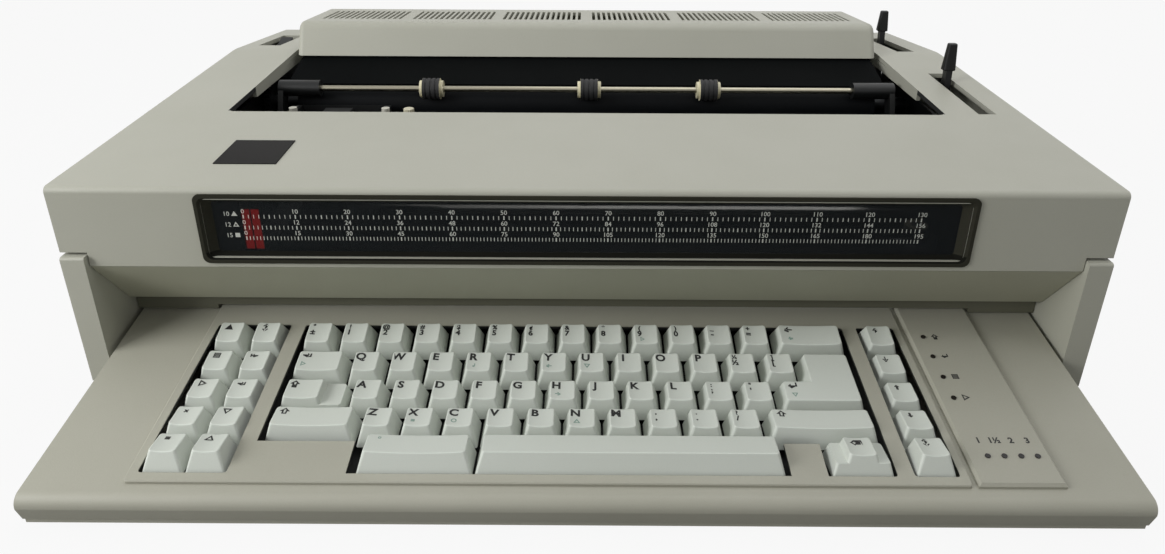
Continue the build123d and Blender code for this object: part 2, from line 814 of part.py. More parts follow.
# Paper feed roller, and the cradle that presses it to the platen
feed_distance = platen_radius + feed_radius + feed_nip
feed_y = platen_y + feed_distance * cos(radians(feed_angle))
feed_z = platen_height + feed_distance * sin(radians(feed_angle))
with BuildPart() as feed_roller:
    rod(-cradle_half, cradle_half, feed_y, feed_z, feed_shaft)
    roller_step = 2 * feed_half / feed_wheels
    for number in range(feed_wheels):
        roller_middle = -feed_half + roller_step * (number + 0.5)
        rod(roller_middle - roller_step / 3, roller_middle + roller_step / 3, feed_y, feed_z,
            feed_radius)
name_and_save(feed_roller.part, "feed_roller")

with BuildPart() as feed_cradle:
    arm_half = cradle_arm_half
    tail_end = cradle_y + cradle_reach
    tail_low = tail_top - tail_depth
    arm_inner = cradle_half - cradle_wall
    with BuildSketch(Plane.YZ.offset(arm_inner)):
        with BuildLine():
            Polyline(
                (cradle_y - arm_half, cradle_height - arm_half),
                (cradle_y - arm_half, cradle_height + arm_half),
                (feed_y - arm_half, feed_z),
                (feed_y - arm_half, feed_z + feed_shaft + seam),
                (feed_y + arm_half, feed_z + feed_shaft + seam),
                (feed_y + arm_half, feed_z - 2 * arm_half),
                close=True,
            )
        make_face()
    extrude(amount=cradle_wall)
    mirror(about=Plane.YZ)
    # tail on the right arm, under the release lever's finger
    with BuildSketch(Plane.YZ.offset(arm_inner)):
        with BuildLine():
            Polyline(
                (feed_y - 2 * arm_half, feed_z - 1.5 * arm_half),
                (feed_y + arm_half, feed_z - arm_half),
                (release_y - 1.5 * finger_reach, tail_top),
                (tail_end, tail_top),
                (tail_end, tail_low),
                (release_y - 1.5 * finger_reach, tail_low),
                (feed_y - 2 * arm_half, feed_z - 3 * arm_half),
                close=True,
            )
        make_face()
    extrude(amount=cradle_wall)
    # cross plate under the roller, pivot pins and the roller's bearings
    slab(-cradle_half, cradle_half, feed_y - arm_half, feed_y + arm_half,
         feed_z - feed_radius - 2 * cradle_wall, feed_z - feed_radius - cradle_wall)
    for side in (-1, 1):
        left, right = between(side * arm_inner, side * (frame_outer + seat_gap))
        rod(left, right, cradle_y, cradle_height, cradle_pin)
    rod(-cradle_half - seam, cradle_half + seam, feed_y, feed_z, feed_shaft + running_gap,
        mode=Mode.SUBTRACT)
name_and_save(feed_cradle.part, "feed_cradle")


def knob(y, z, length):
    """A tapered lever knob with a flat top, standing on a lever at its lower end."""
    with BuildPart() as grip:
        with BuildSketch(Plane.XY.offset(z)):
            with Locations((lever_x, y)):
                RectangleRounded(knob_low_width, knob_low_width - seam, knob_low_width / 4)
        with BuildSketch(Plane.XY.offset(z + length)):
            with Locations((lever_x, y)):
                RectangleRounded(knob_top_width, knob_top_width - seam, knob_top_width / 4)
        loft()
        fillet(grip.faces().sort_by(Axis.Z)[-1].edges(), knob_top_width / 6)
        fillet(grip.faces().sort_by(Axis.Z)[0].edges(), knob_low_width / 12)
    return grip.part


def lever_stem(pivot_y, pivot_z, top_y, top_z, width):
    """The side view of a flat lever from its pivot to its knob."""
    reach = hypot(top_y - pivot_y, top_z - pivot_z)
    across_y = width / 2 * (top_z - pivot_z) / reach
    across_z = width / 2 * (top_y - pivot_y) / reach
    return [
        (pivot_y - across_y, pivot_z + across_z),
        (top_y - across_y, top_z + across_z),
        (top_y + across_y, top_z - across_z),
        (pivot_y + across_y, pivot_z - across_z),
    ]


# Release lever: shaft through the right frame, finger over the cradle's tail, stem and knob
rear_knob_y = behind(rear_knob_distance)
with BuildPart() as release_lever:
    finger_inner = cradle_half - cradle_wall - seam
    rod(finger_inner, lever_x + lever_wall / 2, release_y, release_height, release_pin)
    with BuildSketch(Plane.YZ.offset(finger_inner)):
        Polygon(
            *lever_stem(release_y, release_height, release_y - finger_reach,
                        release_height - finger_drop, 2 * finger_radius),
            align=None,
        )
        with Locations((release_y - finger_reach, release_height - finger_drop)):
            Circle(finger_radius)
    extrude(amount=cradle_wall + 2 * seam)
    with BuildSketch(Plane.YZ.offset(lever_x - lever_wall / 2)):
        Polygon(
            *lever_stem(release_y, release_height, rear_knob_y, rear_knob_low, lever_width),
            align=None,
        )
    extrude(amount=lever_wall)
    rod(lever_x - lever_wall / 2, lever_x + lever_wall / 2, release_y, release_height,
        lever_boss_radius)
    slab(0, lever_x + cover_width, release_y - cover_width, release_y + cover_width,
         rear_knob_low, rear_knob_low + cover_width, mode=Mode.SUBTRACT)
name_and_save(release_lever.part, "release_lever")
name_and_save(knob(rear_knob_y, rear_knob_low, rear_knob_length), "release_knob")

# Paper bail: two arms on stub pins, the right one with the lever's stem
rod_y = behind(bail_rod_distance)
front_knob_y = behind(front_knob_distance)
with BuildPart() as bail_arms:
    for side in (-1, 1):
        left, right = between(side * (bail_arm_outer - bail_arm_wall), side * bail_arm_outer)
        with BuildSketch(Plane.YZ.offset(left)):
            Polygon(
                *lever_stem(bail_y, bail_pivot_height, rod_y, bail_rod_height,
                            2 * bail_arm_half),
                align=None,
            )
            with Locations((bail_y, bail_pivot_height), (rod_y, bail_rod_height)):
                Circle(bail_arm_half)
        extrude(amount=bail_arm_wall)
        left, right = between(side * bail_visible_half, side * bail_arm_outer)
        rod(left, right, rod_y, bail_rod_height, bail_block_radius)
    arm_middle = bail_arm_outer - bail_arm_wall / 2
    rod(-frame_outer - seat_gap, -arm_middle, bail_y, bail_pivot_height, bail_pin)
    rod(arm_middle, lever_x, bail_y, bail_pivot_height, bail_pin)
    rod(lever_x - lever_wall / 2, lever_x + lever_wall / 2, bail_y, bail_pivot_height,
        lever_boss_radius)
    with BuildSketch(Plane.YZ.offset(lever_x - lever_wall / 2)):
        Polygon(
            *lever_stem(bail_y, bail_pivot_height, front_knob_y, front_knob_low,
                        lever_width),
            align=None,
        )
    extrude(amount=lever_wall)
    slab(lever_x - 2 * lever_wall, lever_x + 2 * lever_wall, front_knob_y - knob_length,
         front_knob_y + knob_length, front_knob_low, front_knob_low + knob_length,
         mode=Mode.SUBTRACT)
    rod(-bail_arm_outer + bail_arm_wall, bail_arm_outer - bail_arm_wall, rod_y,
        bail_rod_height, bail_rod_radius, mode=Mode.SUBTRACT)
name_and_save(bail_arms.part, "bail_arms")
name_and_save(knob(front_knob_y, front_knob_low, knob_length), "bail_knob")

with BuildPart() as bail_rod:
    rod(-bail_arm_outer + bail_arm_wall, bail_arm_outer - bail_arm_wall, rod_y,
        bail_rod_height, bail_rod_radius)
name_and_save(bail_rod.part, "bail_rod")

# Three rollers that run on the bail's rod, each with ribbed rubber between two flanges
for roller_name, roller_x in zip(("left", "middle", "right"), roller_places):
    with BuildPart() as bail_roller:
        half = roller_width / 2
        rod(roller_x - half, roller_x + half, rod_y, bail_rod_height, roller_radius)
        rod(roller_x - half - flange_width, roller_x + half + flange_width, rod_y,
            bail_rod_height, flange_radius)
        for groove in (-1, 0, 1):
            with Locations((roller_x + groove * groove_pitch, rod_y, bail_rod_height)):
                Torus(roller_radius + groove_room, groove_radius, rotation=(0, 90, 0),
                      mode=Mode.SUBTRACT)
        rod(roller_x - roller_width, roller_x + roller_width, rod_y, bail_rod_height,
            bail_rod_radius + running_gap, mode=Mode.SUBTRACT)
    name_and_save(bail_roller.part, f"{roller_name}_bail_roller")

# Paper guide: a black plate that slopes up under the hood, on two brackets
guide_reach = guide_back - guide_front
guide_plane = Plane(
    origin=(0, behind(guide_front), guide_front_top),
    x_dir=(1, 0, 0),
    z_dir=(0, -sin(radians(guide_slope)), cos(radians(guide_slope))),
)
bracket_front = behind(platen_distance + platen_radius + 2 * seam)
bracket_back = bracket_front + 2 * cradle_wall
bracket_inner = guide_half - 2 * cradle_wall
with BuildPart() as paper_guide:
    with BuildSketch(guide_plane) as guide_outline:
        with Locations((0, guide_reach / 2)):
            Rectangle(2 * guide_half, guide_reach)
        fillet(guide_outline.vertices().group_by(Axis.Y)[0], guide_corner)
    extrude(amount=-guide_wall)
    bracket_top = guide_front_top + (bracket_front - behind(guide_front)) * tan(
        radians(guide_slope)) - guide_wall / 2
    for side in (-1, 1):
        left, right = between(side * bracket_inner, side * frame_half)
        slab(left, right, bracket_front, bracket_back, frame_top - 2 * guide_wall, frame_top)
        left, right = between(side * bracket_inner, side * guide_half)
        slab(left, right, bracket_front, bracket_back, frame_top - guide_wall, bracket_top)
name_and_save(paper_guide.part, "paper_guide")

# Carrier: a floor and two cheeks on bearing blocks, with a shelf for the ribbon cartridge
carrier_front = front_rail - rail_block_half - carrier_margin
carrier_back = rear_rail + rail_block_half + carrier_margin
wheel_z = platen_height - wheel_radius
hammer_z = platen_height - hammer_drop
shelf_low = carrier_shelf - carrier_plate
with BuildPart() as carrier_body:
    left, right = carrier_rest_x - carrier_half, carrier_rest_x + carrier_half
    slab(left, right, behind(carrier_front), behind(carrier_back), carrier_floor,
         carrier_floor + carrier_plate)
    for distance in (front_rail, rear_rail):
        slab(left, right, behind(distance - rail_block_half), behind(distance + rail_block_half),
             rail_height - rail_block_half, carrier_floor + carrier_plate)
        rod(left - seam, right + seam, behind(distance), rail_height,
            rail_radius + running_gap, mode=Mode.SUBTRACT)
    for cheek_left in (left, right - carrier_wall):
        slab(cheek_left, cheek_left + carrier_wall, behind(carrier_front),
             behind(carrier_back), carrier_floor, carrier_shelf)
        belt_room = 2 * pulley_radius
        slab(cheek_left - seam, cheek_left + carrier_wall + seam,
             behind(belt_distance) - belt_room, behind(belt_distance) + belt_room,
             carrier_floor + carrier_plate, belt_height + belt_width + 2 * seam,
             mode=Mode.SUBTRACT)
    slab(left, right, behind(cartridge_front), behind(cartridge_back), shelf_low, carrier_shelf)
    # block that holds the hammer, and the seat of the pointer's arm
    slab(carrier_rest_x - hammer_block_half, carrier_rest_x + hammer_block_half,
         behind(hammer_block_front), behind(hammer_block_back), shelf_low,
         hammer_z + hammer_block_half)
    slab(carrier_rest_x - pointer_arm_half, carrier_rest_x + pointer_arm_half,
         behind(cartridge_front - 2 * pointer_arm_half), behind(cartridge_front + carrier_wall),
         pointer_arm_height + pointer_arm_wall, carrier_shelf)
    # room for the wheel's motor, and the bore that the hammer slides in
    with Locations((carrier_rest_x, behind(hammer_block_back) - wheel_motor_length / 2,
                    wheel_z)):
        Cylinder(wheel_motor_radius + seat_gap, wheel_motor_length + 4 * seam,
                 rotation=(90, 0, 0), mode=Mode.SUBTRACT)
    with Locations((carrier_rest_x, behind(hammer_block_front), hammer_z)):
        Cylinder(hammer_radius + running_gap, 3 * (hammer_block_back - hammer_block_front),
                 rotation=(90, 0, 0), mode=Mode.SUBTRACT)
    # clamp on the belt's front run
    run_y = behind(belt_distance) - pulley_radius - seat_gap - belt_wall / 2
    clamp_half = 2 * carrier_wall
    slab(carrier_rest_x - clamp_half, carrier_rest_x + clamp_half, run_y - carrier_wall,
         run_y + carrier_wall, carrier_floor + carrier_plate / 2, belt_height + belt_width)
    slab(carrier_rest_x - clamp_half - seam, carrier_rest_x + clamp_half + seam,
         run_y - belt_wall / 2 - seat_gap, run_y + belt_wall / 2 + seat_gap,
         belt_height - seat_gap, belt_height + 2 * belt_width, mode=Mode.SUBTRACT)
name_and_save(carrier_body.part, "carrier_body")

with BuildPart() as wheel_motor:
    motor_back = behind(hammer_block_back)
    with Locations((carrier_rest_x, motor_back - wheel_motor_length / 2, wheel_z)):
        Cylinder(wheel_motor_radius, wheel_motor_length, rotation=(90, 0, 0))
    chamfer(wheel_motor.edges().group_by(Axis.Y)[0], seam)
    with Locations((carrier_rest_x, motor_back, wheel_z)):
        Cylinder(motor_shaft_radius, wheel_distance - hammer_block_back, rotation=(-90, 0, 0),
                 align=standing)
    # two feet down to the carrier's floor
    for side in (-1, 1):
        foot_x = carrier_rest_x + side * wheel_motor_radius / 2
        slab(foot_x - seam, foot_x + seam, motor_back - wheel_motor_length / 2, motor_back - seam,
             carrier_floor + carrier_plate, wheel_z)
name_and_save(wheel_motor.part, "wheel_motor")

# Daisy wheel on its hub, with a letter petal for each spoke
with BuildPart() as daisy_wheel:
    wheel_back = behind(wheel_distance)
    with Locations((carrier_rest_x, wheel_back, wheel_z)):
        Cylinder(wheel_hub_radius, wheel_hub_length, rotation=(90, 0, 0),
                 align=standing)
    wheel_plane = Plane(origin=(carrier_rest_x, wheel_back, wheel_z), x_dir=(1, 0, 0),
                        z_dir=(0, 1, 0))
    with BuildSketch(wheel_plane):
        Circle(wheel_hub_radius)
        with PolarLocations(wheel_hub_radius, petal_count):
            with Locations(((wheel_radius - wheel_hub_radius) / 2 - seam / 2, 0)):
                Rectangle(wheel_radius - wheel_hub_radius + seam, petal_width)
    extrude(amount=wheel_wall)
    with Locations((carrier_rest_x, wheel_back, wheel_z)):
        Cylinder(motor_shaft_radius + running_gap, 3 * wheel_hub_length, rotation=(90, 0, 0),
                 mode=Mode.SUBTRACT)
name_and_save(daisy_wheel.part, "daisy_wheel")

# Hammer: a rod that strikes the petal from the front
with BuildPart() as print_hammer:
    hammer_tip = wheel_back - hammer_travel - seat_gap
    hammer_length = hammer_tip - behind(hammer_block_front) - hammer_travel
    with Locations((carrier_rest_x, hammer_tip, hammer_z)):
        Cylinder(hammer_radius, hammer_length, rotation=(90, 0, 0),
                 align=standing)
name_and_save(print_hammer.part, "print_hammer")

# Ribbon cartridge: a flat box with a notch for the hammer and two arms that hold the ribbon
with BuildPart() as ribbon_cartridge:
    cartridge_top = carrier_shelf + cartridge_height
    slab(carrier_rest_x - cartridge_half, carrier_rest_x + cartridge_half,
         behind(cartridge_front), behind(cartridge_back), carrier_shelf, cartridge_top)
    fillet(ribbon_cartridge.edges().filter_by(Axis.Z), opening_corner)
    fillet(ribbon_cartridge.faces().sort_by(Axis.Z)[-1].edges(), seam)
    slab(carrier_rest_x - notch_half, carrier_rest_x + notch_half,
         behind(cartridge_back - notch_depth), behind(cartridge_back + seam),
         carrier_shelf - seam, cartridge_top + seam, mode=Mode.SUBTRACT)
    arm_back = cartridge_back + ribbon_arm_reach
    arm_low = carrier_shelf + seam
    arm_high = cartridge_top - 2 * seam
    for side in (-1, 1):
        arm_x = carrier_rest_x + side * ribbon_arm_x
        slab(arm_x - ribbon_arm_width / 2, arm_x + ribbon_arm_width / 2,
             behind(cartridge_back - 2 * seam), behind(arm_back), arm_low, arm_high)
    slab(carrier_rest_x - ribbon_arm_x, carrier_rest_x + ribbon_arm_x,
         behind(arm_back - seat_gap), behind(arm_back), arm_low, arm_high)
    for place in post_places:
        with Locations((carrier_rest_x + place, behind(cartridge_back) - 2 * post_radius,
                        cartridge_top)):
            Cylinder(post_radius, post_height, align=standing)
name_and_save(ribbon_cartridge.part, "ribbon_cartridge")

# Pointer: an arm under the carrier's shelf with two red bars behind the glass
with BuildPart() as position_pointer:
    bars_distance = cover_wall + glass_wall + pointer_gap
    slab(carrier_rest_x - pointer_arm_half, carrier_rest_x + pointer_arm_half,
         behind(bars_distance), behind(cartridge_front + carrier_wall), pointer_arm_height,
         pointer_arm_height + pointer_arm_wall)
    for side in (-1, 1):
        bar_x = carrier_rest_x + side * (pointer_bar_gap + pointer_bar_width) / 2
        slab(bar_x - pointer_bar_width / 2, bar_x + pointer_bar_width / 2,
             behind(bars_distance), behind(bars_distance + pointer_wall), pointer_arm_height,
             window_high - window_border_z)
name_and_save(position_pointer.part, "position_pointer")

# Carrier drive: two pulleys and the belt round them
idler_x = pulley_inset - frame_half
for pulley_name, pulley_x in (("drive_pulley", drive_x), ("idler_pulley", idler_x)):
    with BuildPart() as pulley:
        with Locations((pulley_x, belt_y, belt_height - seat_gap)):
            Cylinder(pulley_radius, belt_width + 2 * seat_gap,
                     align=standing)
            Cylinder(motor_shaft_radius + running_gap, belt_width + 2 * seat_gap,
                     align=standing, mode=Mode.SUBTRACT)
    name_and_save(pulley.part, pulley_name)

with BuildPart() as drive_belt:
    belt_inner = pulley_radius + seat_gap
    with BuildSketch(Plane.XY.offset(belt_height)):
        with Locations(((drive_x + idler_x) / 2, belt_y)):
            SlotCenterToCenter(drive_x - idler_x, 2 * (belt_inner + belt_wall))
            SlotCenterToCenter(drive_x - idler_x, 2 * belt_inner, mode=Mode.SUBTRACT)
    extrude(amount=belt_width)
name_and_save(drive_belt.part, "drive_belt")

# Power supply: a steel box with slots in its lid
with BuildPart() as power_supply:
    slab(supply_left, supply_left + supply_width, behind(supply_front), behind(supply_back),
         floor_top, floor_top + supply_height)
    chamfer(power_supply.faces().sort_by(Axis.Z)[-1].edges(), seam)
    slab(supply_left + cover_wall, supply_left + supply_width - cover_wall,
         behind(supply_front + cover_wall), behind(supply_back - cover_wall),
         floor_top + cover_wall, floor_top + supply_height - cover_wall, mode=Mode.SUBTRACT)
    with BuildSketch(Plane.XY.offset(floor_top + supply_height - 2 * cover_wall)):
        with Locations((supply_left + supply_width / 2, behind(supply_front + supply_depth / 2))):
            with GridLocations(supply_width / (lid_vents + 1), 0, lid_vents, 1):
                SlotOverall(vent_length, vent_width, rotation=90)
    extrude(amount=3 * cover_wall, mode=Mode.SUBTRACT)
name_and_save(power_supply.part, "power_supply")

# Mains inlet in the back wall, against the power supply
with BuildPart() as mains_inlet:
    slab(inlet_x - inlet_width / 2, inlet_x + inlet_width / 2, behind(supply_back), base_back,
         inlet_low, inlet_low + inlet_height)
    slab(inlet_x - inlet_width / 2 + 2 * seam, inlet_x + inlet_width / 2 - 2 * seam,
         base_back - 2 * inlet_depth / 3, base_back + seam, inlet_low + 2 * seam,
         inlet_low + inlet_height - 2 * seam, mode=Mode.SUBTRACT)
    for contact in (-1, 0, 1):
        blade_x = inlet_x + contact * inlet_width / 4
        slab(blade_x - seam / 2, blade_x + seam / 2, base_back - 2 * inlet_depth / 3 - seam,
             base_back - 2 * seam, inlet_low + inlet_height / 3,
             inlet_low + 2 * inlet_height / 3)
name_and_save(mains_inlet.part, "mains_inlet")

# Logic board on the base's posts, with its chips and connectors
with BuildPart() as logic_board:
    board_low = floor_top + board_rise
    board_top = board_low + board_wall
    board_middle_x = board_left + board_width / 2
    board_middle_y = behind(board_front + board_depth / 2)
    slab(board_left, board_left + board_width, board_middle_y - board_depth / 2,
         board_middle_y + board_depth / 2, board_low, board_top)
    with BuildSketch(Plane.XY.offset(board_top)):
        with Locations((board_middle_x, board_middle_y)):
            chip_pitch = board_width / (chip_columns + 1)
            chip_row_pitch = board_depth / (chip_rows + 1)
            with GridLocations(chip_pitch, chip_row_pitch, chip_columns, chip_rows):
                Rectangle(chip_share * chip_pitch, chip_row_pitch / 2)
            with Locations((0, board_wall * 4 - board_depth / 2)):
                Rectangle(board_width / 3, board_wall * 4)
    extrude(amount=2 * board_wall)
name_and_save(logic_board.part, "logic_board")

# The deck's plane, along which the keys are laid out from the keyboard's front edge
keyboard_depth = keyboard_reach + keyboard_under
deck = Plane(
    origin=(0, from_front(0), deck_front_height),
    x_dir=(1, 0, 0),
    z_dir=(0, -sin(tilt), cos(tilt)),
)
keyboard_back = from_front(keyboard_depth)
surround_back = (keyboard_depth - panel_back_margin / 2) / cos(tilt)
wells = (
    (left_block_left, left_block_units),
    (main_left, main_units),
    (right_block_left, right_block_units),
)
well_front = bottom_row - key_pitch / 2 - front_margin
well_back = bottom_row + (row_count - 0.5) * key_pitch + block_margin


def key_wells(height, grow):
    """The keys' three openings as outlines this far above the deck."""
    with BuildSketch(deck.offset(height)) as outline:
        for left, units in wells:
            width = units * key_pitch
            with Locations((left + width / 2, (well_front + well_back) / 2)):
                RectangleRounded(width + 2 * (block_margin + grow),
                                 well_back - well_front + 2 * grow, seam)
    return outline.sketch


# Keyboard's upper case: a shell with the sloping deck
tray_floor = keyboard_low + deck_wall
with BuildPart() as keyboard_top:
    with BuildSketch(Plane.YZ):
        Polygon(
            (from_front(undercut), tray_floor),
            (from_front(0), keyboard_chin),
            (from_front(0), deck_front_height),
            (keyboard_back, deck_height(keyboard_depth)),
            (keyboard_back, tray_floor),
            align=None,
        )
    extrude(amount=keyboard_half, both=True)
    front_edges = keyboard_top.edges().filter_by(Axis.X).group_by(Axis.Y)[0]
    fillet(front_edges.sort_by(Axis.Z)[-1], front_roundness)
    inner_back = keyboard_depth - deck_wall
    inner_drop = deck_wall / cos(tilt)
    with BuildSketch(Plane.YZ):
        Polygon(
            (from_front(undercut + deck_wall), tray_floor - seam),
            (from_front(deck_wall), keyboard_chin),
            (from_front(front_roundness), deck_height(front_roundness) - inner_drop),
            (from_front(inner_back), deck_height(inner_back) - inner_drop),
            (from_front(inner_back), tray_floor - seam),
            align=None,
        )
    extrude(amount=keyboard_half - deck_wall, both=True, mode=Mode.SUBTRACT)
    # the sides and the back stop above the base's floor
    slab(-keyboard_half - seam, keyboard_half + seam, behind(floor_front) - seam,
         keyboard_back + seam, keyboard_low - seam, floor_top + seat_gap, mode=Mode.SUBTRACT)
    extrude(key_wells(-2 * deck_wall, well_room), amount=3 * deck_wall, mode=Mode.SUBTRACT)
name_and_save(keyboard_top.part, "keyboard_top")

# Keyboard's lower case: a stepped tray whose back lies on the base's floor
tray_front = undercut + case_step
tray_back = keyboard_depth - deck_wall - seat_gap
tray_step = keyboard_reach + floor_front - tray_step_gap
tray_shelf = floor_top + deck_wall
tray_half = keyboard_half - case_step
with BuildPart() as keyboard_bottom:
    with BuildSketch(Plane.YZ):
        Polygon(
            (from_front(tray_front), keyboard_low),
            (from_front(tray_step), keyboard_low),
            (from_front(tray_step), floor_top),
            (from_front(tray_back), floor_top),
            (from_front(tray_back), tray_shelf),
            (from_front(tray_step - deck_wall), tray_shelf),
            (from_front(tray_step - deck_wall), tray_floor),
            (from_front(tray_front), tray_floor),
            align=None,
        )
    extrude(amount=keyboard_half - deck_wall - seat_gap, both=True)
    slab(-tray_half, tray_half, from_front(tray_front), from_front(tray_step), keyboard_low,
         tray_floor)
name_and_save(keyboard_bottom.part, "keyboard_bottom")

# Surround: a raised plate on the deck with the keys' openings, closed where the lowest row
# has no key
with BuildPart() as key_surround:
    with BuildSketch(deck):
        with Locations(((surround_left + surround_right) / 2,
                        (surround_front + surround_back) / 2)):
            RectangleRounded(surround_right - surround_left, surround_back - surround_front,
                             seam)
    extrude(amount=surround_wall)
    chamfer(key_surround.faces().filter_by(deck).sort_by(Axis.Z)[-1].edges(),
            surround_wall / 4)
    extrude(key_wells(-deck_wall, 0), amount=3 * deck_wall, mode=Mode.SUBTRACT)
    blank_back = bottom_row + key_pitch / 2 - blank_inset
    with BuildSketch(deck):
        for first, last in blank_units:
            with Locations((main_left + (first + last) / 2 * key_pitch,
                            (well_front + blank_back) / 2)):
                Rectangle((last - first) * key_pitch + 2 * block_margin,
                          blank_back - well_front + 2 * block_margin)
    extrude(amount=surround_wall)
name_and_save(key_surround.part, "key_surround")

# Status panel with its lamps
with BuildPart() as status_panel:
    with BuildSketch(deck):
        with Locations((panel_left + panel_width / 2, (panel_front + surround_back) / 2)):
            Rectangle(panel_width, surround_back - panel_front)
    extrude(amount=panel_rise)
    chamfer(status_panel.faces().filter_by(deck).sort_by(Axis.Z)[-1].edges(), panel_bevel)
name_and_save(status_panel.part, "status_panel")

with BuildPart() as status_lamps:
    with BuildSketch(deck.offset(panel_rise)):
        with Locations(*[(lamp_column_x, place) for place in lamp_column]):
            Circle(lamp_radius)
        with Locations(*[(place, lamp_row) for place in lamp_row_x]):
            Circle(lamp_radius)
    extrude(amount=lamp_rise)
name_and_save(status_lamps.part, "status_lamps")


# Key caps: each is made with the middle of its top at the origin, then set in its row
def cap_block(units, top, shrink=0.0, rows=1):
    """A tapered block from a cap's skirt up to this height, shrunk all round for a hollow."""
    with BuildPart() as block:
        for height in (-cap_height, top):
            share = 1 + height / cap_height
            width = units * key_pitch - cap_gap - share * (cap_top_inset - cap_gap)
            depth = rows * key_pitch - cap_gap - share * (key_pitch - cap_gap - cap_top_depth)
            corner = cap_corner + share * (cap_top_corner - cap_corner)
            with BuildSketch(Plane.XY.offset(height)):
                with Locations((0, share * cap_top_back)):
                    RectangleRounded(width - 2 * shrink, depth - 2 * shrink,
                                     corner - shrink / 2)
        loft()
    return block.part


def softened(cap):
    """The cap with the edges round its top rounded."""
    with BuildPart() as soft:
        add(cap)
        fillet(soft.edges().filter_by(
            lambda edge: edge.bounding_box().min.Z > -dish_depth - cap_edge / 2), cap_edge)
    return soft.part


def dished(cap, units):
    """The cap with a shallow round hollow along the middle of its top."""
    half_width = (units * key_pitch - cap_top_inset) / 2
    radius = (half_width ** 2 + dish_depth ** 2) / (2 * dish_depth)
    with BuildPart() as shaped:
        add(cap)
        with Locations((0, 0, radius - dish_depth)):
            Cylinder(radius, 4 * key_pitch, rotation=(90, 0, 0), mode=Mode.SUBTRACT)
    return softened(shaped.part)


def plain_cap(units):
    """A hollow cap this many squares wide."""
    with BuildPart() as cap:
        add(cap_block(units, 0))
        add(cap_block(units, cap_ceiling, cap_wall), mode=Mode.SUBTRACT)
    return cap.part


def dished_cap(units):
    """A plain cap with a dished top."""
    return dished(plain_cap(units), units)


def stepped_cap(units, raised_units, shift):
    """A cap with a low shelf beside its raised part."""
    with BuildPart() as cap:
        add(cap_block(units, -low_step))
        add(dished(cap_block(raised_units, 0), raised_units).moved(Location((shift, 0, 0))))
        add(cap_block(units, -low_step - cap_wall, cap_wall), mode=Mode.SUBTRACT)
    return cap.part


def return_cap():
    """The carrier return key's cap: an L turned over two rows."""
    wide, narrow = return_units
    arms = (
        (wide, 1, Location((0, -key_pitch / 2, 0))),
        (narrow, 2, Location(((wide - narrow) * key_pitch / 2, 0, 0))),
    )
    with BuildPart() as cap:
        for units, rows, place in arms:
            add(cap_block(units, 0, rows=rows).moved(place))
        add(softened(cap.part), mode=Mode.REPLACE)
        for units, rows, place in arms:
            add(cap_block(units, cap_ceiling, cap_wall, rows).moved(place), mode=Mode.SUBTRACT)
    return cap.part


def row_lean(row):
    """Lean of a row against the deck; rows count up from the typist."""
    return (bottom_row + row * key_pitch - key_well_bottom) / key_well_radius


def key_place(x, row, below=0.0):
    """Where the middle of a key's top stands, or a point this far below it, with its lean."""
    lean = row_lean(row)
    along = key_well_bottom + key_well_radius * sin(lean)
    rise = key_well_rise + key_well_radius * (1 - cos(lean))
    return deck.location * Location((x, along, rise), (degrees(lean), 0, 0)) * Location(
        (0, 0, -below))


def stem(x, row, travel_row, radius, length, mode=Mode.ADD):
    """A round stem below a key, along the way that its group travels."""
    turn = degrees(row_lean(travel_row) - row_lean(row))
    with Locations(key_place(x, row, cap_wall) * Location((0, 0, 0), (turn, 0, 0))):
        Cylinder(radius, length, align=(Align.CENTER, Align.CENTER, Align.MAX), mode=mode)


def main_x(first, units):
    """Middle of a key in the main block, from its first square and its width."""
    return main_left + (first + units / 2) * key_pitch


def row_of_keys(first, count, row):
    """Places of single keys side by side in the main block."""
    return [(main_x(first + number, 1), row) for number in range(count)]


def block_of_keys(left, columns):
    """Places of single keys in a block that is five rows high."""
    return [
        (left + (column + 0.5) * key_pitch, row)
        for column in range(columns)
        for row in range(row_count)
    ]


cap_ceiling = -dish_depth - cap_wall
stem_length = cap_height + key_travel + 2 * guide_gap + key_guide_wall - cap_wall
single_cap = dished_cap(1)
middle_row = (row_count - 1) / 2

# Every group of keys that moves as one: name, caps with their places, row it travels with
key_groups = (
    ("number_keys", single_cap, row_of_keys(0, 13, 4), 4),
    ("backspace_key", dished_cap(2), [(main_x(13, 2), 4)], 4),
    ("tab_key", dished_cap(1.5), [(main_x(0, 1.5), 3)], 3),
    ("q_row_keys", single_cap, row_of_keys(1.5, 12, 3), 3),
    ("lock_key", stepped_cap(1.75, 1.25, -key_pitch / 4), [(main_x(0, 1.75), 2)], 2),
    ("a_row_keys", single_cap, row_of_keys(1.75, 11, 2), 2),
    ("carrier_return_key", return_cap(), [(main_x(12.75, return_units[0]), 2.5)], 2.5),
    ("left_shift_key", dished_cap(2.25), [(main_x(0, 2.25), 1)], 1),
    ("z_row_keys", single_cap, row_of_keys(2.25, 10, 1), 1),
    ("right_shift_key", dished_cap(2.75), [(main_x(12.25, 2.75), 1)], 1),
    ("code_key", dished_cap(2.75), [(main_x(2.5, 2.75), 0)], 0),
    ("space_bar", softened(plain_cap(7.25)), [(main_x(5.25, 7.25), 0)], 0),
    ("correct_key", stepped_cap(1.5, 1.0, 0), [(main_x(13.5, 1.5), 0)], 0),
    ("left_function_keys", single_cap, block_of_keys(left_block_left, 2), middle_row),
    ("paper_feed_keys", single_cap, block_of_keys(right_block_left, 1), middle_row),
)


def stem_places(name, places):
    """Places of a group's stems: two for the space bar, else one under each cap."""
    if name == "space_bar":
        (x, row), = places
        return [(x + side * space_stems * key_pitch, row) for side in (-1, 1)]
    return places


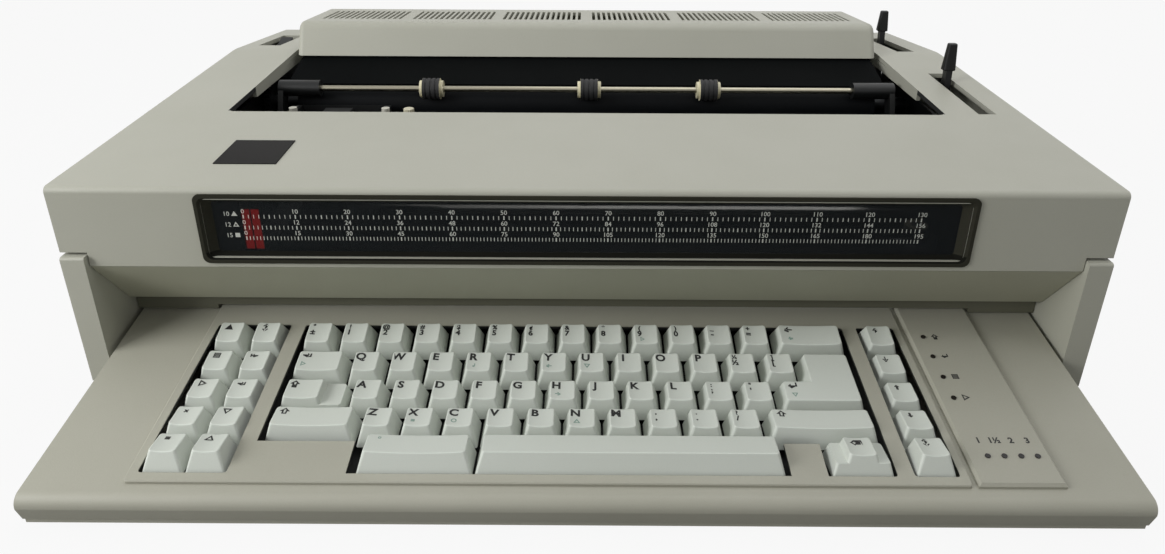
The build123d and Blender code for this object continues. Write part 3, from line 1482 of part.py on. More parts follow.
for name, cap, places, travel_row in key_groups:
    with BuildPart() as keys:
        for x, row in places:
            add(cap.moved(key_place(x, row)))
        for x, row in stem_places(name, places):
            stem(x, row, travel_row, stem_radius, stem_length)
    name_and_save(keys.part, name)

# Key guide: a curved plate with a hole for each stem, on two long feet
well_middle = (deck.location * Location((0, key_well_bottom, key_well_rise + key_well_radius))
               ).position
guide_inner = key_well_radius + cap_height + key_travel + guide_gap
guide_outer = guide_inner + key_guide_wall
guide_left = left_block_left - 2 * deck_wall
guide_right = right_block_left + key_pitch + deck_wall
guide_front = well_middle.Y + guide_outer * sin(tilt + row_lean(-0.5))
guide_back = well_middle.Y + guide_outer * sin(tilt + row_lean(row_count - 0.35))
with BuildPart() as key_guide:
    rod(guide_left, guide_right, well_middle.Y, well_middle.Z, guide_outer)
    slab(guide_left, guide_right, guide_front, guide_back, tray_floor,
         well_middle.Z - key_well_radius / 2, mode=Mode.INTERSECT)
    slab(guide_left, guide_right, guide_front, guide_front + deck_wall, tray_floor,
         tray_floor + cap_height)
    slab(guide_left, guide_right, guide_back - deck_wall, guide_back, tray_shelf,
         tray_shelf + cap_height)
    rod(guide_left, guide_right, well_middle.Y, well_middle.Z, guide_inner,
        mode=Mode.SUBTRACT)
    for name, cap, places, travel_row in key_groups:
        for x, row in stem_places(name, places):
            stem(x, row, travel_row, stem_radius + running_gap, stem_length + key_travel,
                 mode=Mode.SUBTRACT)
name_and_save(key_guide.part, "key_guide")

# Rubber feet: four under the base and four under the keyboard
with BuildPart() as rubber_feet:
    foot_x = base_half - foot_inset_x
    for side in (-1, 1):
        for distance in (foot_front_distance, cover_depth - foot_rear_inset):
            with Locations((side * foot_x, behind(distance), 0)):
                Cylinder(foot_radius, foot_height, align=standing)
        for distance in (keyboard_foot_inset, tray_step - keyboard_foot_inset):
            with Locations((side * foot_x, from_front(distance), 0)):
                Cylinder(foot_radius / 2, keyboard_low, align=standing)
name_and_save(rubber_feet.part, "rubber_feet")
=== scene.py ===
import json
from math import atan2, cos, pi, radians, sin

import bmesh
import bpy
from mathutils import Matrix, Vector
from mathutils.bvhtree import BVHTree

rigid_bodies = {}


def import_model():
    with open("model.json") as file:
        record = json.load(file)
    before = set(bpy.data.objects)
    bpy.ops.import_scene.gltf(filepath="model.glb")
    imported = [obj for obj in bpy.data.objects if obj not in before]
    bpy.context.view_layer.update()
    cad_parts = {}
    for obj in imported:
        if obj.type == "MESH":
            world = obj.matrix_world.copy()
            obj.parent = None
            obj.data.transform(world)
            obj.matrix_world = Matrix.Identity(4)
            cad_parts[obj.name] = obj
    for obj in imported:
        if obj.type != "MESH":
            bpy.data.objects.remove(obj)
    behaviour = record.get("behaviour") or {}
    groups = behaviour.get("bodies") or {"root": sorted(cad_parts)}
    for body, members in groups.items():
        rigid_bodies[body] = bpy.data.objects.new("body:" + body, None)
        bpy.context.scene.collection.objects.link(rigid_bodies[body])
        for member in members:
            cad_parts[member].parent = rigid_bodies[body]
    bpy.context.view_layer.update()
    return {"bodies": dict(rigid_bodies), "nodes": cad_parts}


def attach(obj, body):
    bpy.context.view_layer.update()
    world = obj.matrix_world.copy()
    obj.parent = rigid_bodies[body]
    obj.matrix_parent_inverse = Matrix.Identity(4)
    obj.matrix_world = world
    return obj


# The looks of an electronic typewriter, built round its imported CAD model.
# Sizes and places are in mm, as in the CAD source, and MM turns them into metres. Only the
# floor and the lamps are given in metres, and noise in cycles a metre.
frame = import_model()
MM = 0.001

# Places and sizes that the CAD source gives
face_y = -130.25                # the cover's face
cover_depth = 353.0             # the face to the cover's rear edge
seat_gap = 0.3                  # the base's back stands this far in front of that edge
deck_front = -222.75            # Y and Z of the deck's front edge, and its tilt
deck_level = 18.2
deck_tilt = radians(8.42)
key_pitch = 19.05
first_row = 24.5                # the deck's front edge to the row of the space bar
bowl_middle = 70.6              # where the bowl of key tops is level with the deck
bowl_radius = 212.0
key_rise = 3.0                  # key tops over the deck at the bowl's middle
main_left = -149.3              # left edges of the main block and the two side blocks
left_block = -195.8
right_block = 144.7
panel_top = 2.5                 # the status panel's top over the deck


def behind(distance):
    """Y of a point this far behind the cover's face."""
    return distance + face_y


# Shader maths
class Value:
    """One socket of a shader. Sums on it add the nodes that work them out."""

    def __init__(self, finish, socket):
        self.finish = finish
        self.socket = socket

    def sum(self, operation, first, second):
        return self.finish.node("ShaderNodeMath", {"operation": operation},
                                {0: first, 1: second})

    def __add__(self, other):
        return self.sum("ADD", self, other)

    def __sub__(self, other):
        return self.sum("SUBTRACT", self, other)

    def __rsub__(self, other):
        return self.sum("SUBTRACT", other, self)

    def __mul__(self, other):
        return self.sum("MULTIPLY", self, other)

    __radd__ = __add__
    __rmul__ = __mul__

    def limited(self, low, high):
        """The value spread from low..high to 0..1 and held there."""
        return self.finish.node("ShaderNodeMapRange", {"clamp": True},
                                {0: self, 1: low, 2: high, 3: 0.0, 4: 1.0})


class Finish:
    """A material that is being built."""

    def __init__(self, name, colour, roughness=0.5, metallic=0.0, **constants):
        self.material = bpy.data.materials.new(name)
        self.material.use_nodes = True
        self.tree = self.material.node_tree
        self.shader = self.tree.nodes["Principled BSDF"]
        self.place = Value(self, self.tree.nodes.new("ShaderNodeTexCoord").outputs["Object"])
        self.set("Base Color", colour)
        self.set("Roughness", roughness)
        self.set("Metallic", metallic)
        for socket, value in constants.items():
            self.set(socket.replace("_", " "), value)

    def node(self, kind, settings, inputs, output=0):
        """Add a node with its settings and inputs, and give one of its outputs."""
        made = self.tree.nodes.new(kind)
        for key, value in settings.items():
            setattr(made, key, value)
        for key, value in inputs.items():
            if isinstance(value, Value):
                self.tree.links.new(value.socket, made.inputs[key])
            else:
                made.inputs[key].default_value = value
        return Value(self, made.outputs[output])

    def set(self, socket, value):
        """Set or link a socket of the surface's shader."""
        if isinstance(value, Value):
            self.tree.links.new(value.socket, self.shader.inputs[socket])
        else:
            self.shader.inputs[socket].default_value = value

    def noise(self, scale, detail=2.0, roughness=0.5, place=None):
        """Soft noise of this many cycles a metre, around 0.5."""
        return self.node("ShaderNodeTexNoise", {},
                         {"Vector": place or self.place, "Scale": scale, "Detail": detail,
                          "Roughness": roughness})

    def blend(self, mask, first, second):
        """A colour between two by a mask."""
        return self.node("ShaderNodeMix", {"data_type": "RGBA"},
                         {0: mask, 6: first, 7: second}, 2)

    def bump(self, height, depth):
        """Raise the surface by a height, which is this depth at the most."""
        self.set("Normal", self.node("ShaderNodeBump", {},
                                     {"Height": height, "Distance": depth * MM}))

    def axes(self):
        """X, Y and Z on the piece, as three values in metres."""
        return [self.node("ShaderNodeSeparateXYZ", {}, {0: self.place}, axis)
                for axis in range(3)]

    def above(self, value, level):
        """One where a value in metres is over this level in mm, else zero."""
        return self.node("ShaderNodeMath", {"operation": "GREATER_THAN"},
                         {0: value, 1: level * MM})

    def below(self, value, level):
        """One where a value in metres isn't over this level in mm, else zero."""
        return 1.0 - self.above(value, level)

    def within(self, value, low, high):
        """One where a value in metres lies between two levels in mm, else zero."""
        return self.above(value, low) * self.below(value, high)

    def stretched(self, factors):
        """The place on the piece, stretched by three factors."""
        return self.node("ShaderNodeMapping", {}, {"Vector": self.place, "Scale": factors})


def paint(red, green, blue):
    """A colour from the usual 0..255 values, made linear."""
    def linear(value):
        value /= 255
        return value / 12.92 if value <= 0.04045 else ((value + 0.055) / 1.055) ** 2.4
    return (linear(red), linear(green), linear(blue), 1.0)


def shade(colour, share):
    """A darker shade of a colour."""
    return tuple(share * channel for channel in colour[:3]) + (1.0,)


def moulded(name, colour, darker, roughness=0.52, grain=1900.0, depth=0.05,
            part=None, other=paint(26, 27, 27), **constants):
    """Moulded plastic: a fine pebble grain, faint clouds in its colour and duller patches.
    Part gives the mask of what has the other colour, which is painted shade on most pieces
    and a real second colour on some; the near black default is painted shade."""
    finish = Finish(name, colour, roughness, **constants)
    clouds = finish.noise(9.0, 3.0, 0.6)
    specks = finish.noise(grain * 0.8, 1.0)
    mask = clouds.limited(0.35, 0.75) * 0.7 + specks.limited(0.45, 0.7) * 0.3
    mottled = finish.blend(mask, colour, darker)
    if part:
        mottled = finish.blend(part(finish), mottled, other)
    finish.set("Base Color", mottled)
    wear = 0.12
    finish.set("Roughness", finish.noise(30.0, 3.0) * wear + (roughness - wear / 2))
    finish.bump(finish.noise(grain, 2.0, 0.6), depth)
    return finish.material


def metal(name, colour, roughness, stretch=(0.1, 1.0, 1.0), scale=3000.0):
    """Bare metal with fine lines along X, or with another stretch a soft mottle."""
    finish = Finish(name, colour, roughness, 1.0)
    streaks = finish.noise(scale, 3.0, 0.6, finish.stretched(stretch))
    finish.set("Roughness", streaks * 0.25 + (roughness - 0.12))
    finish.set("Base Color", finish.blend(streaks.limited(0.3, 0.8), colour,
                                          shade(colour, 0.82)))
    finish.bump(streaks, 0.01)
    return finish.material


def rubbery(name, colour, lighter, grain=1400.0, roughness=0.75, **constants):
    """Matt rubber with dusty lighter patches."""
    finish = Finish(name, colour, roughness, **constants)
    dust = finish.noise(60.0, 4.0, 0.65).limited(0.5, 0.8)
    finish.set("Base Color", finish.blend(dust, colour, lighter))
    finish.set("Roughness", dust * 0.1 + (roughness - 0.05))
    finish.bump(finish.noise(grain), 0.04)
    return finish.material


def plain_paint(name, colour, roughness):
    """Printed ink or a small moulding, with a faint mottle."""
    finish = Finish(name, colour, roughness)
    mottle = finish.noise(2500.0)
    finish.set("Base Color", finish.blend(mottle.limited(0.3, 0.8), colour,
                                          shade(colour, 0.85)))
    finish.set("Roughness", mottle * 0.15 + (roughness - 0.07))
    return finish.material


# Masks of the parts of a piece that have another colour: painted shade on most of them, the
# posts' own colour on the cartridge
def base_lining(finish):
    """The inside of the base, where the machine sits in it, painted near black as the shade
    that fills it.
    """
    x, y, z = finish.axes()
    half_width, front, back, floor_top = 256.8, 60.0, 351.5, 15.5
    return (finish.within(x, -half_width, half_width)
            * finish.within(y, behind(front), behind(back)) * finish.above(z, floor_top))


def opening_edge(finish):
    """The cover's cut edge beside the carrier, in front of the lips, painted near black as
    shade.
    """
    x, y, z = finish.axes()
    half_width, front, back, low = 213.05, 109.0, 154.4, 112.0
    return (finish.within(x, -half_width, half_width)
            * finish.within(y, behind(front), behind(back)) * finish.above(z, low))


def well_walls(finish):
    """The walls round the keys, below the surround's top edge, painted near black as shade.
    """
    x, y, z = finish.axes()
    back, up = y - deck_front * MM, z - deck_level * MM
    along = back * cos(deck_tilt) + up * sin(deck_tilt)
    height = up * cos(deck_tilt) - back * sin(deck_tilt)
    left, right, front, rear, top = -199.1, 166.5, 10.4, 136.5, 1.3
    return (finish.within(x, left, right) * finish.within(along, front, rear)
            * finish.below(height, top))


def frame_sill(finish):
    """The lower bevel of the window's frame, and its own lower edge, painted near black as
    shade.
    """
    x, y, z = finish.axes()
    front, top = -0.9, 88.6
    return finish.above(y, behind(front)) * finish.below(z, top)


def chin_wall(finish):
    """The wall under the chin, down to the keyboard, painted dark as the shade under the
    chin.
    """
    chin_low = 47.7
    return finish.below(finish.axes()[2], chin_low)


def cartridge_posts(finish):
    """The winding posts that stand on the ribbon cartridge."""
    cartridge_top = 109.65
    return finish.above(finish.axes()[2], cartridge_top)


# Finishes
# The cover's cut edge at the opening is painted near black as shade.
case_grey = moulded("case_grey", paint(172, 172, 160), paint(165, 165, 152),
                    part=opening_edge)
# The chin's grey is a darker, yellower copy of the case grey: painted shade and a painted
# warm reflection of the deck. The wall under it is painted darker still as shade.
chin_shaded_grey = moulded("chin_shaded_grey", paint(164, 164, 147), paint(157, 157, 139),
                    part=chin_wall, other=paint(92, 92, 77))
# The base's inside is painted near black as shade.
base_grey = moulded("base_grey", paint(172, 172, 160), paint(165, 165, 152),
                    part=base_lining)
# The walls of the key wells are painted near black as shade.
keyboard_grey = moulded("keyboard_grey", paint(164, 163, 150), paint(157, 156, 142),
                        part=well_walls)
key_grey = moulded("key_grey", paint(206, 211, 203), paint(199, 204, 195), 0.42, 2600.0,
                   0.02)
# The frame's lower bevel and lower edge are painted near black as shade.
window_olive = moulded("window_olive", paint(54, 53, 45), paint(45, 45, 38), 0.6,
                       part=frame_sill, other=paint(24, 24, 20), Specular_IOR_Level=0.03)
black_satin = moulded("black_satin", paint(19, 20, 20), paint(12, 13, 13), 0.42, 2200.0,
                      Specular_IOR_Level=0.3)
guide_black = moulded("guide_black", paint(9, 11, 11), paint(6, 7, 8), 0.7, 1500.0,
                      Specular_IOR_Level=0.02)
cream = moulded("cream", paint(205, 200, 176), paint(190, 184, 160), 0.4, 2600.0, 0.02)
laminate_green = moulded("laminate_green", paint(34, 92, 58), paint(26, 74, 46), 0.45, 500.0)
supply_grey = moulded("supply_grey", paint(150, 152, 150), paint(138, 140, 138), 0.5)
badge_satin = moulded("badge_satin", paint(30, 29, 28), paint(24, 23, 22), 0.5, 2600.0,
                      Specular_IOR_Level=0.05)
cartridge_black = moulded("cartridge_black", paint(22, 23, 23), paint(15, 16, 16), 0.42,
                          2200.0, part=cartridge_posts, other=paint(190, 188, 176))
blackened = metal("blackened_steel", paint(44, 45, 46), 0.45, (1.0, 6.0, 1.0), 300.0)
bright_steel = metal("bright_steel", paint(205, 205, 200), 0.22)
rod_steel = metal("rod_steel", paint(150, 146, 130), 0.3)
plate_satin = metal("plate_satin", paint(172, 174, 174), 0.4)
motor_can = metal("motor_can", paint(120, 122, 124), 0.4, (1.0, 1.0, 1.0), 500.0)
black_rubber = rubbery("black_rubber", paint(24, 24, 24), paint(44, 43, 41))
platen_black = rubbery("platen_black", paint(8, 10, 12), paint(13, 15, 17), 900.0, 0.6,
                       Specular_IOR_Level=0.1)
lamp_dark = plain_paint("lamp_dark", paint(24, 20, 19), 0.15)
key_ink = plain_paint("key_ink", paint(28, 28, 28), 0.55)
faint_ink = plain_paint("faint_ink", paint(132, 158, 146), 0.55)
scale_ink = plain_paint("scale_ink", paint(196, 198, 190), 0.5)


def flanged_roller(name, middle):
    """A bail roller: ribbed black rubber between two cream flanges."""
    finish = Finish(name, paint(20, 20, 21), 0.7)
    rubber_half = 5.8
    rubber = finish.within(finish.axes()[0], middle - rubber_half, middle + rubber_half)
    dust = finish.noise(160.0, 3.0).limited(0.5, 0.8)
    black = finish.blend(dust, paint(20, 20, 21), paint(34, 34, 34))
    finish.set("Base Color", finish.blend(rubber, paint(214, 208, 178), black))
    finish.set("Roughness", rubber * 0.3 + 0.42)
    finish.bump(finish.noise(1400.0), 0.03)
    return finish.material


def pointer_paint():
    """The pointer: red bars behind the glass with a painted glow on their front, on a black
    arm.
    """
    finish = Finish("pointer_red", paint(215, 40, 36), 0.4, Emission_Strength=1.3)
    x, y, z = finish.axes()
    bars_low, bars_high, bars_back, painted_glow_back = 87.7, 109.2, 7.1, 6.4
    bars = finish.within(z, bars_low, bars_high)
    red = finish.blend(finish.noise(900.0), paint(215, 40, 36), paint(196, 34, 32))
    finish.set("Base Color", finish.blend(bars * finish.below(y, behind(bars_back)),
                                          paint(16, 16, 16), red))
    # Painted glow: the front of the bars gives off red light, though they are no lamp.
    finish.set("Emission Color", finish.blend(bars * finish.below(y, behind(painted_glow_back)),
                                              paint(0, 0, 0), paint(225, 36, 30)))
    return finish.material


def tinted_glass():
    """Dark glossy glass that lets the red pointer through."""
    finish = Finish("tinted_glass", paint(24, 28, 30), 0.05, Alpha=0.7,
                    Specular_IOR_Level=0.18)
    smears = finish.noise(14.0, 4.0, 0.6).limited(0.45, 0.85)
    finish.set("Roughness", smears * 0.12 + 0.04)
    return finish.material


finishes = {
    case_grey: ("top_cover", "rear_hood"),
    chin_shaded_grey: ("front_chin",),
    base_grey: ("base_pan",),
    keyboard_grey: ("keyboard_top", "keyboard_bottom", "key_surround", "status_panel"),
    window_olive: ("window_frame",),
    tinted_glass(): ("scale_glass",),
    badge_satin: ("badge_plate",),
    black_satin: ("mains_inlet", "key_guide", "switch_rocker", "release_lever",
                  "release_knob", "bail_arms", "bail_knob", "carrier_body", "daisy_wheel"),
    guide_black: ("paper_guide",),
    cartridge_black: ("ribbon_cartridge",),
    black_rubber: ("rubber_feet", "drive_belt", "feed_roller"),
    platen_black: ("platen_rubber",),
    blackened: ("side_frames", "feed_cradle", "platen_core"),
    bright_steel: ("hinge_pins", "carrier_rails", "print_hammer"),
    rod_steel: ("bail_rod",),
    motor_can: ("drive_motors", "wheel_motor"),
    supply_grey: ("power_supply",),
    laminate_green: ("logic_board",),
    cream: ("line_pinion", "drive_pulley", "idler_pulley"),
    pointer_paint(): ("position_pointer",),
    lamp_dark: ("status_lamps",),
}
for side, middle in {"left": -104.7, "middle": 1.9, "right": 82.5}.items():
    finishes[flanged_roller(f"{side}_roller", middle)] = (f"{side}_bail_roller",)
finishes[key_grey] = [body.removesuffix("_body") for body in frame["bodies"]
                      if body.endswith("_body")]
for material, names in finishes.items():
    for name in names:
        cad = frame["nodes"][name]
        cad.data.materials.clear()
        cad.data.materials.append(material)


# Pieces
def place(shape, name, body, material, slot):
    """Make a finished bmesh an object that rides on a body."""
    mesh = bpy.data.meshes.new(name)
    shape.to_mesh(mesh)
    shape.free()
    mesh.materials.append(material)
    piece = bpy.data.objects.new(name, mesh)
    bpy.context.scene.collection.objects.link(piece)
    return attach(piece, body)


def at(x, y, z):
    """A shift to a point."""
    return Matrix.Translation(Vector((x, y, z)) * MM)


def join(target, source, matrix=Matrix.Identity(4)):
    """Add a bmesh, moved by a matrix, to another one."""
    source.transform(matrix)
    mesh = bpy.data.meshes.new("part")
    source.to_mesh(mesh)
    source.free()
    target.from_mesh(mesh)
    bpy.data.meshes.remove(mesh)


def letters(text, size, weight=0.04):
    """Flat letters of this size as a bmesh, their middle at the origin."""
    curve = bpy.data.curves.new("letters", "FONT")
    curve.body = text
    curve.size = size * MM
    curve.align_x = "CENTER"
    curve.resolution_u = 3
    curve.offset = weight * size * MM
    holder = bpy.data.objects.new("letters", curve)
    mesh = bpy.data.meshes.new_from_object(holder)
    shape = bmesh.new()
    shape.from_mesh(mesh)
    bpy.data.objects.remove(holder)
    bpy.data.curves.remove(curve)
    bpy.data.meshes.remove(mesh)
    capital_middle = 0.34
    bmesh.ops.translate(shape, vec=(0, -capital_middle * size * MM, 0), verts=shape.verts)
    return shape


def surface_of(node):
    """A search tree over the faces of a CAD node."""
    mesh = frame["nodes"][node].data
    return BVHTree.FromPolygons([vertex.co for vertex in mesh.vertices],
                                [face.vertices for face in mesh.polygons])


def print_on(shape, tree, text, size, matrix):
    """Add letters, dropped along their own normal to just above a surface."""
    marks = letters(text, size)
    normal = matrix.col[2].to_3d()
    start, reach, ink_height = 3, 9, 0.04
    marks.transform(matrix)
    for vertex in marks.verts:
        found = tree.ray_cast(vertex.co + normal * start * MM, -normal, reach * MM)[0]
        if found is not None:
            vertex.co = found + normal * ink_height * MM
    join(shape, marks)


# Signs on the keys
deck = at(0, deck_front, deck_level) @ Matrix.Rotation(deck_tilt, 4, "X")
space_row, z_row, a_row, q_row, number_row = range(5)


def key_place(x, row):
    """The middle of a key's top, with its lean."""
    lean = (first_row + key_pitch * row - bowl_middle) / bowl_radius
    along = bowl_middle + bowl_radius * sin(lean)
    rise = key_rise + bowl_radius * (1 - cos(lean))
    return deck @ at(x, along, rise) @ Matrix.Rotation(lean, 4, "X")


def main_x(first, units):
    """Middle of a key in the main block, from its first square and its width."""
    return main_left + (first + units / 2) * key_pitch


# A mark is the key's x and row, the sign, its place right of and behind the middle of the
# key's top, its size, and its ink.
def one_sign(first, row, signs, faint=""):
    """Keys side by side with one large sign each, and a small faint one on some."""
    marks = []
    for number, sign in enumerate(signs):
        x = main_x(first + number, 1)
        marks.append((x, row, sign, -3.1, 3.8, 6.2, "ink"))
        if faint[number:number + 1].strip():
            marks.append((x, row, faint[number], -2.4, -1.8, 3.2, "faint"))
    return marks


def two_signs(first, row, upper, lower):
    """Keys side by side with one sign over another."""
    marks = []
    for number, (high, low) in enumerate(zip(upper, lower)):
        x = main_x(first + number, 1)
        marks.append((x, row, high, -3.4, 4.7, 3.8, "ink"))
        marks.append((x, row, low, -3.4, 1.0, 4.6, "ink"))
    return marks


def column(left, number, signs):
    """Five keys one behind another in a side block, from the back, with a small sign each."""
    x = left + (number + 0.5) * key_pitch
    return [(x, number_row - back, sign, -1.6, 3.9, 4.2, "ink")
            for back, sign in enumerate(signs)]


key_marks = {
    "number_keys": two_signs(0, number_row, "\u00b0!@#$%\u00a2&*()_+", "\u00b11234567890-=")
    + [(main_x(9, 1), number_row, "\u25b7", -2.0, -2.6, 2.6, "faint")],
    "q_row_keys": one_sign(1.5, q_row, "QWERTYUIOP", "   \u21b2 \u2190\u25bd")
    + two_signs(11.5, q_row, "\u00bc]", "\u00bd["),
    "a_row_keys": one_sign(1.75, a_row, "ASDFGHJKL", "     \u2192")
    + two_signs(10.75, a_row, ":\"", ";'"),
    "z_row_keys": one_sign(2.25, z_row, "ZXCVBNM", " \u2261\u25cb  \u25b3")
    + two_signs(9.25, z_row, ",.?", ",./"),
    "backspace_key": [(main_x(13, 2), number_row, "\u2190", -10.6, 4.2, 4.8, "ink"),
                      (main_x(13, 2), number_row, "\u21d0", -10.4, -1.6, 3.2, "faint")],
    "tab_key": [(main_x(0, 1.5), q_row, "\u21e5", -6.8, 4.2, 4.8, "ink"),
                (main_x(0, 1.5), q_row, "\u25b7", -7.4, -1.6, 3.0, "faint")],
    "lock_key": [(main_x(0, 1.75), a_row, "\u21ea", -9.8, 3.8, 4.8, "ink")],
    "left_shift_key": [(main_x(0, 2.25), z_row, "\u21e7", -13.6, 3.8, 4.8, "ink")],
    "right_shift_key": [(main_x(12.25, 2.75), z_row, "\u21e7", -18.2, 3.8, 4.8, "ink")],
    "carrier_return_key": [
        (main_x(12.75, 2.25), (a_row + q_row) / 2, "\u21b5", -13.6, -5.6, 5.2, "ink"),
        (main_x(12.75, 2.25), (a_row + q_row) / 2, "\u25bd", -13.4, -11.4, 3.0, "faint")],
    "code_key": [(main_x(2.5, 2.75), space_row, "\u25ab", -17.2, 4.7, 4.0, "faint")],
    "correct_key": [(main_x(13.5, 1.5), space_row, "\u232b", -0.8, 3.2, 4.8, "ink")],
    "left_function_keys": column(left_block, 0, "\u25b2\u25a4\u25b7\u00d7\u2261")
    + column(left_block, 1, "\u2195\u21e4\u21e5\u25bd\u25b3"),
    "paper_feed_keys": column(right_block, 0, "\u2191\u2193\u21d1\u21d3\u2195"),
}
for node, marks in key_marks.items():
    tree = surface_of(node)
    for kind, material in (("ink", key_ink), ("faint", faint_ink)):
        shape = bmesh.new()
        for x, row, sign, aside, along, size, ink in marks:
            if ink == kind:
                print_on(shape, tree, sign, size, key_place(x, row) @ at(aside, along, 0))
        if shape.verts:
            place(shape, f"{node}_{kind}", f"{node}_body", material, "key_plastic")
        else:
            shape.free()

# Numbers over the lower lamps and a sign beside each upper lamp: X of each number, and how
# far behind the deck's front edge the lamp of each sign is
lower_lamps = {"1": 179.2, "1\u00bd": 186.6, "2": 194.2, "3": 201.6}
upper_lamps = {"\u21ea": 102.7, "\u21b5": 88.0, "\u25a4": 73.5, "\u25b7": 59.5}
numbers_along = 33.6
signs_x = 184.0
sign_shift = 0.4                # a sign's middle lies this far behind its lamp's
tree = surface_of("status_panel")
shape = bmesh.new()
for text, x in lower_lamps.items():
    print_on(shape, tree, text, 4.4, deck @ at(x, numbers_along, panel_top))
for text, along in upper_lamps.items():
    print_on(shape, tree, text, 4.0, deck @ at(signs_x, along + sign_shift, panel_top))
place(shape, "status_signs", "base", key_ink, "cover_plastic")

# Scale printed on the glass: three rows of ticks and numbers for three pitches
glass_front = 3.0               # the cover's face to the glass
print_gap = 0.03                # the print stands this far in front of the glass
scale_left = -167.2
inch = 25.4
scale_inches = 13
tick_height = 2.0
full_tick, half_tick, small_tick = 0.62, 0.5, 0.34
number_size, number_weight = 3.3, 0.005
pitch_x, sign_x, sign_size = -175.4, -171.4, 2.9


def on_glass(x, z):
    """A place on the face of the glass, facing out."""
    return at(x, behind(glass_front) - print_gap, z) @ Matrix.Rotation(radians(90), 4, "X")


shape = bmesh.new()
for number_z, tick_z, sign_z, pitch, sign in (
    (109.6, 106.7, 108.2, 10, "\u25b2"),
    (103.75, 100.8, 102.4, 12, "\u25b3"),
    (97.9, 95.0, 96.6, 15, "\u25a0"),
):
    for step in range(scale_inches * pitch + 1):
        x = scale_left + inch * step / pitch
        width = (full_tick if step % pitch == 0
                 else half_tick if 2 * step % pitch == 0 else small_tick)
        tick = bmesh.new()
        bmesh.ops.create_grid(tick, x_segments=1, y_segments=1, size=0.5)
        outline = Matrix.Diagonal((width * MM, tick_height * MM, 1, 1))
        join(shape, tick, on_glass(x, tick_z) @ outline)
        if step % pitch == 0:
            join(shape, letters(str(step), number_size, number_weight), on_glass(x, number_z))
    join(shape, letters(str(pitch), number_size, number_weight), on_glass(pitch_x, sign_z))
    join(shape, letters(sign, sign_size), on_glass(sign_x, sign_z))
place(shape, "scale_print", "cover", scale_ink, "cream_plastic")

# Ribbed winding knob on the ribbon cartridge
ribs = 16
knob_foot_radius, knob_top_radius = 3.6, 3.4
knob_height = 4.0
knob_edge = 0.3
knob_place = (-115.0, behind(152.3), 111.5)
groove_share = 0.88             # a groove's radius as a share of the knob's
shape = bmesh.new()
bmesh.ops.create_cone(shape, cap_ends=True, segments=2 * ribs,
                      radius1=knob_foot_radius * MM, radius2=knob_top_radius * MM,
                      depth=knob_height * MM)
top = [edge for edge in shape.edges if min(vertex.co.z for vertex in edge.verts) > 0]
bmesh.ops.bevel(shape, geom=top, offset=knob_edge * MM, segments=2, profile=0.5,
                affect="EDGES", material=-1)
for vertex in shape.verts:
    if round(atan2(vertex.co.y, vertex.co.x) * ribs / pi) % 2:
        vertex.co.xy *= groove_share
shape.transform(at(*knob_place))
place(shape, "winding_knob", "carrier", cream, "cream_plastic")


# On the base's back: a bare rating plate, and screws along its lower edge with slots painted
# dark as shade
def on_back(x, z):
    """A place on the base's back, facing out."""
    return at(x, behind(cover_depth) - seat_gap, z) @ Matrix.Rotation(radians(-90), 4, "X")


def flat_block(width, height, low, high):
    """A block from one level to another over what it lies on."""
    block = bmesh.new()
    bmesh.ops.create_cube(block, size=MM)
    bmesh.ops.scale(block, vec=(width, height, high - low), verts=block.verts)
    block.transform(at(0, 0, (low + high) / 2))
    return block


plate_width, plate_height, plate_corner = 62.0, 30.0, 3.0
sunk = -0.2                     # trims on the back start this far inside its face
plate_top = 0.2
shape = flat_block(plate_width, plate_height, sunk, plate_top)
corners = [edge for edge in shape.edges if edge.verts[0].co.z * edge.verts[1].co.z < 0]
bmesh.ops.bevel(shape, geom=corners, offset=plate_corner * MM, segments=4, profile=0.5,
                affect="EDGES", material=-1)
shape.transform(on_back(90.0, 55.0))
place(shape, "rating_plate", "base", plate_satin, "supply_steel")
screw_z = 22.0
head_foot_radius, head_top_radius, head_height = 3.4, 3.0, 0.5
slot_length, slot_width, slot_top = 3.6, 0.8, 0.27
screws = bmesh.new()
# The slots are dark marks just over each screw head, painted shade standing in for a cut
# slot.
slot_shade = bmesh.new()
for x in (-235.0, -80.0, 80.0, 235.0):
    head = bmesh.new()
    bmesh.ops.create_cone(head, cap_ends=True, segments=24, radius1=head_foot_radius * MM,
                          radius2=head_top_radius * MM, depth=head_height * MM)
    join(screws, head, on_back(x, screw_z))
    for width, height in ((slot_length, slot_width), (slot_width, slot_length)):
        join(slot_shade, flat_block(width, height, sunk, slot_top), on_back(x, screw_z))
place(screws, "back_screws", "base", blackened, "frame_steel")
place(slot_shade, "back_screw_slot_shade", "base", lamp_dark, "frame_steel")

# Floor, lit by the lamps but nearly white to the camera, as in the photo
floor_half = 6.0
floor_white = 0.92
stage = bmesh.new()
bmesh.ops.create_grid(stage, x_segments=1, y_segments=1, size=floor_half)
floor_mesh = bpy.data.meshes.new("floor")
stage.to_mesh(floor_mesh)
stage.free()
paper = Finish("floor_white", paint(145, 145, 143), 0.85)
to_camera = paper.node("ShaderNodeLightPath", {}, {}) * floor_white
glow = paper.node("ShaderNodeEmission", {}, {"Color": (1, 1, 1, 1), "Strength": 1.0})
shown = paper.node("ShaderNodeMixShader", {},
                   {0: to_camera, 1: Value(paper, paper.shader.outputs[0]), 2: glow})
paper.tree.links.new(shown.socket, paper.tree.nodes["Material Output"].inputs["Surface"])
floor_mesh.materials.append(paper.material)
floor = bpy.data.objects.new("floor", floor_mesh)
bpy.context.scene.collection.objects.link(floor)

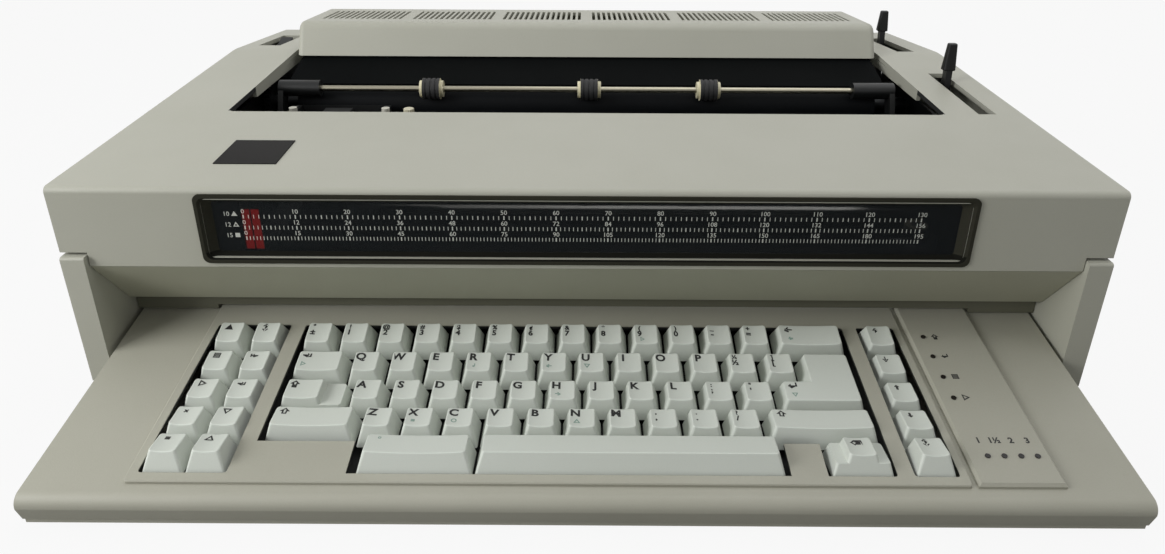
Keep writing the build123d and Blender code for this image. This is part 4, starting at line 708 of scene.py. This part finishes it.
# World: soft grey light, and white to the camera, to reflections and through glass
room_light = 0.32
white = (1.0, 1.0, 1.0, 1.0)
scene = bpy.context.scene
scene.view_settings.view_transform = "Standard"
world = bpy.data.worlds.new("studio")
world.use_nodes = True
scene.world = world
sky = world.node_tree
sky_light = sky.nodes["Background"]
sky_light.inputs["Color"].default_value = white
sky_light.inputs["Strength"].default_value = room_light
rays = sky.nodes.new("ShaderNodeLightPath")
bright = sky.nodes.new("ShaderNodeBackground")
bright.inputs["Color"].default_value = white
shown = sky_light.outputs[0]
for ray in ("Is Camera Ray", "Is Glossy Ray", "Is Transmission Ray"):
    mix = sky.nodes.new("ShaderNodeMixShader")
    sky.links.new(rays.outputs[ray], mix.inputs[0])
    sky.links.new(shown, mix.inputs[1])
    sky.links.new(bright.outputs[0], mix.inputs[2])
    shown = mix.outputs[0]
sky.links.new(shown, sky.nodes["World Output"].inputs["Surface"])


def soft_lamp(name, stand, aim, size, power):
    """A large soft lamp at a stand, aimed at a point. Lengths are in metres."""
    light = bpy.data.lights.new(name, "AREA")
    light.shape = "RECTANGLE"
    light.size, light.size_y = size
    light.energy = power
    lamp = bpy.data.objects.new(name, light)
    lamp.location = stand
    direction = Vector(aim) - Vector(stand)
    lamp.rotation_mode = "QUATERNION"
    lamp.rotation_quaternion = direction.to_track_quat("-Z", "Y")
    scene.collection.objects.link(lamp)


soft_lamp("main_lamp", (0.35, 0.0, 1.6), (0, 0, 0.05), (1.3, 1.0), 8.0)
soft_lamp("back_lamp", (0.3, 1.2, 1.5), (0, 0, 0.05), (1.2, 0.8), 4.0)
soft_lamp("side_lamp", (-0.9, -0.5, 0.5), (-0.1, -0.1, 0.1), (0.6, 0.5), 8.0)

# Camera at the photo's place: a low stand in front, close enough to widen the keyboard
photo_width = 1165              # in pixels, as the focal length is
focal_length = 835.5
sensor_width = 36.0
camera_place = (-1.5, -494.25, 282.6)
camera = bpy.data.cameras.new("camera")
camera.sensor_width = sensor_width
camera.lens = focal_length / photo_width * sensor_width
camera.shift_y = -0.075
camera.clip_start = 0.01
viewer = bpy.data.objects.new("camera", camera)
pitch, roll, yaw = radians(23.63), radians(-0.28), radians(-0.08)
forward = Vector((sin(yaw) * cos(pitch), cos(yaw) * cos(pitch), -sin(pitch)))
right = Vector((cos(yaw), -sin(yaw), 0.0))
down = forward.cross(right)
right, down = (cos(roll) * right + sin(roll) * down, cos(roll) * down - sin(roll) * right)
turn = Matrix((right, -down, -forward)).transposed().to_4x4()
viewer.matrix_world = at(*camera_place) @ turn
scene.collection.objects.link(viewer)
scene.camera = viewer
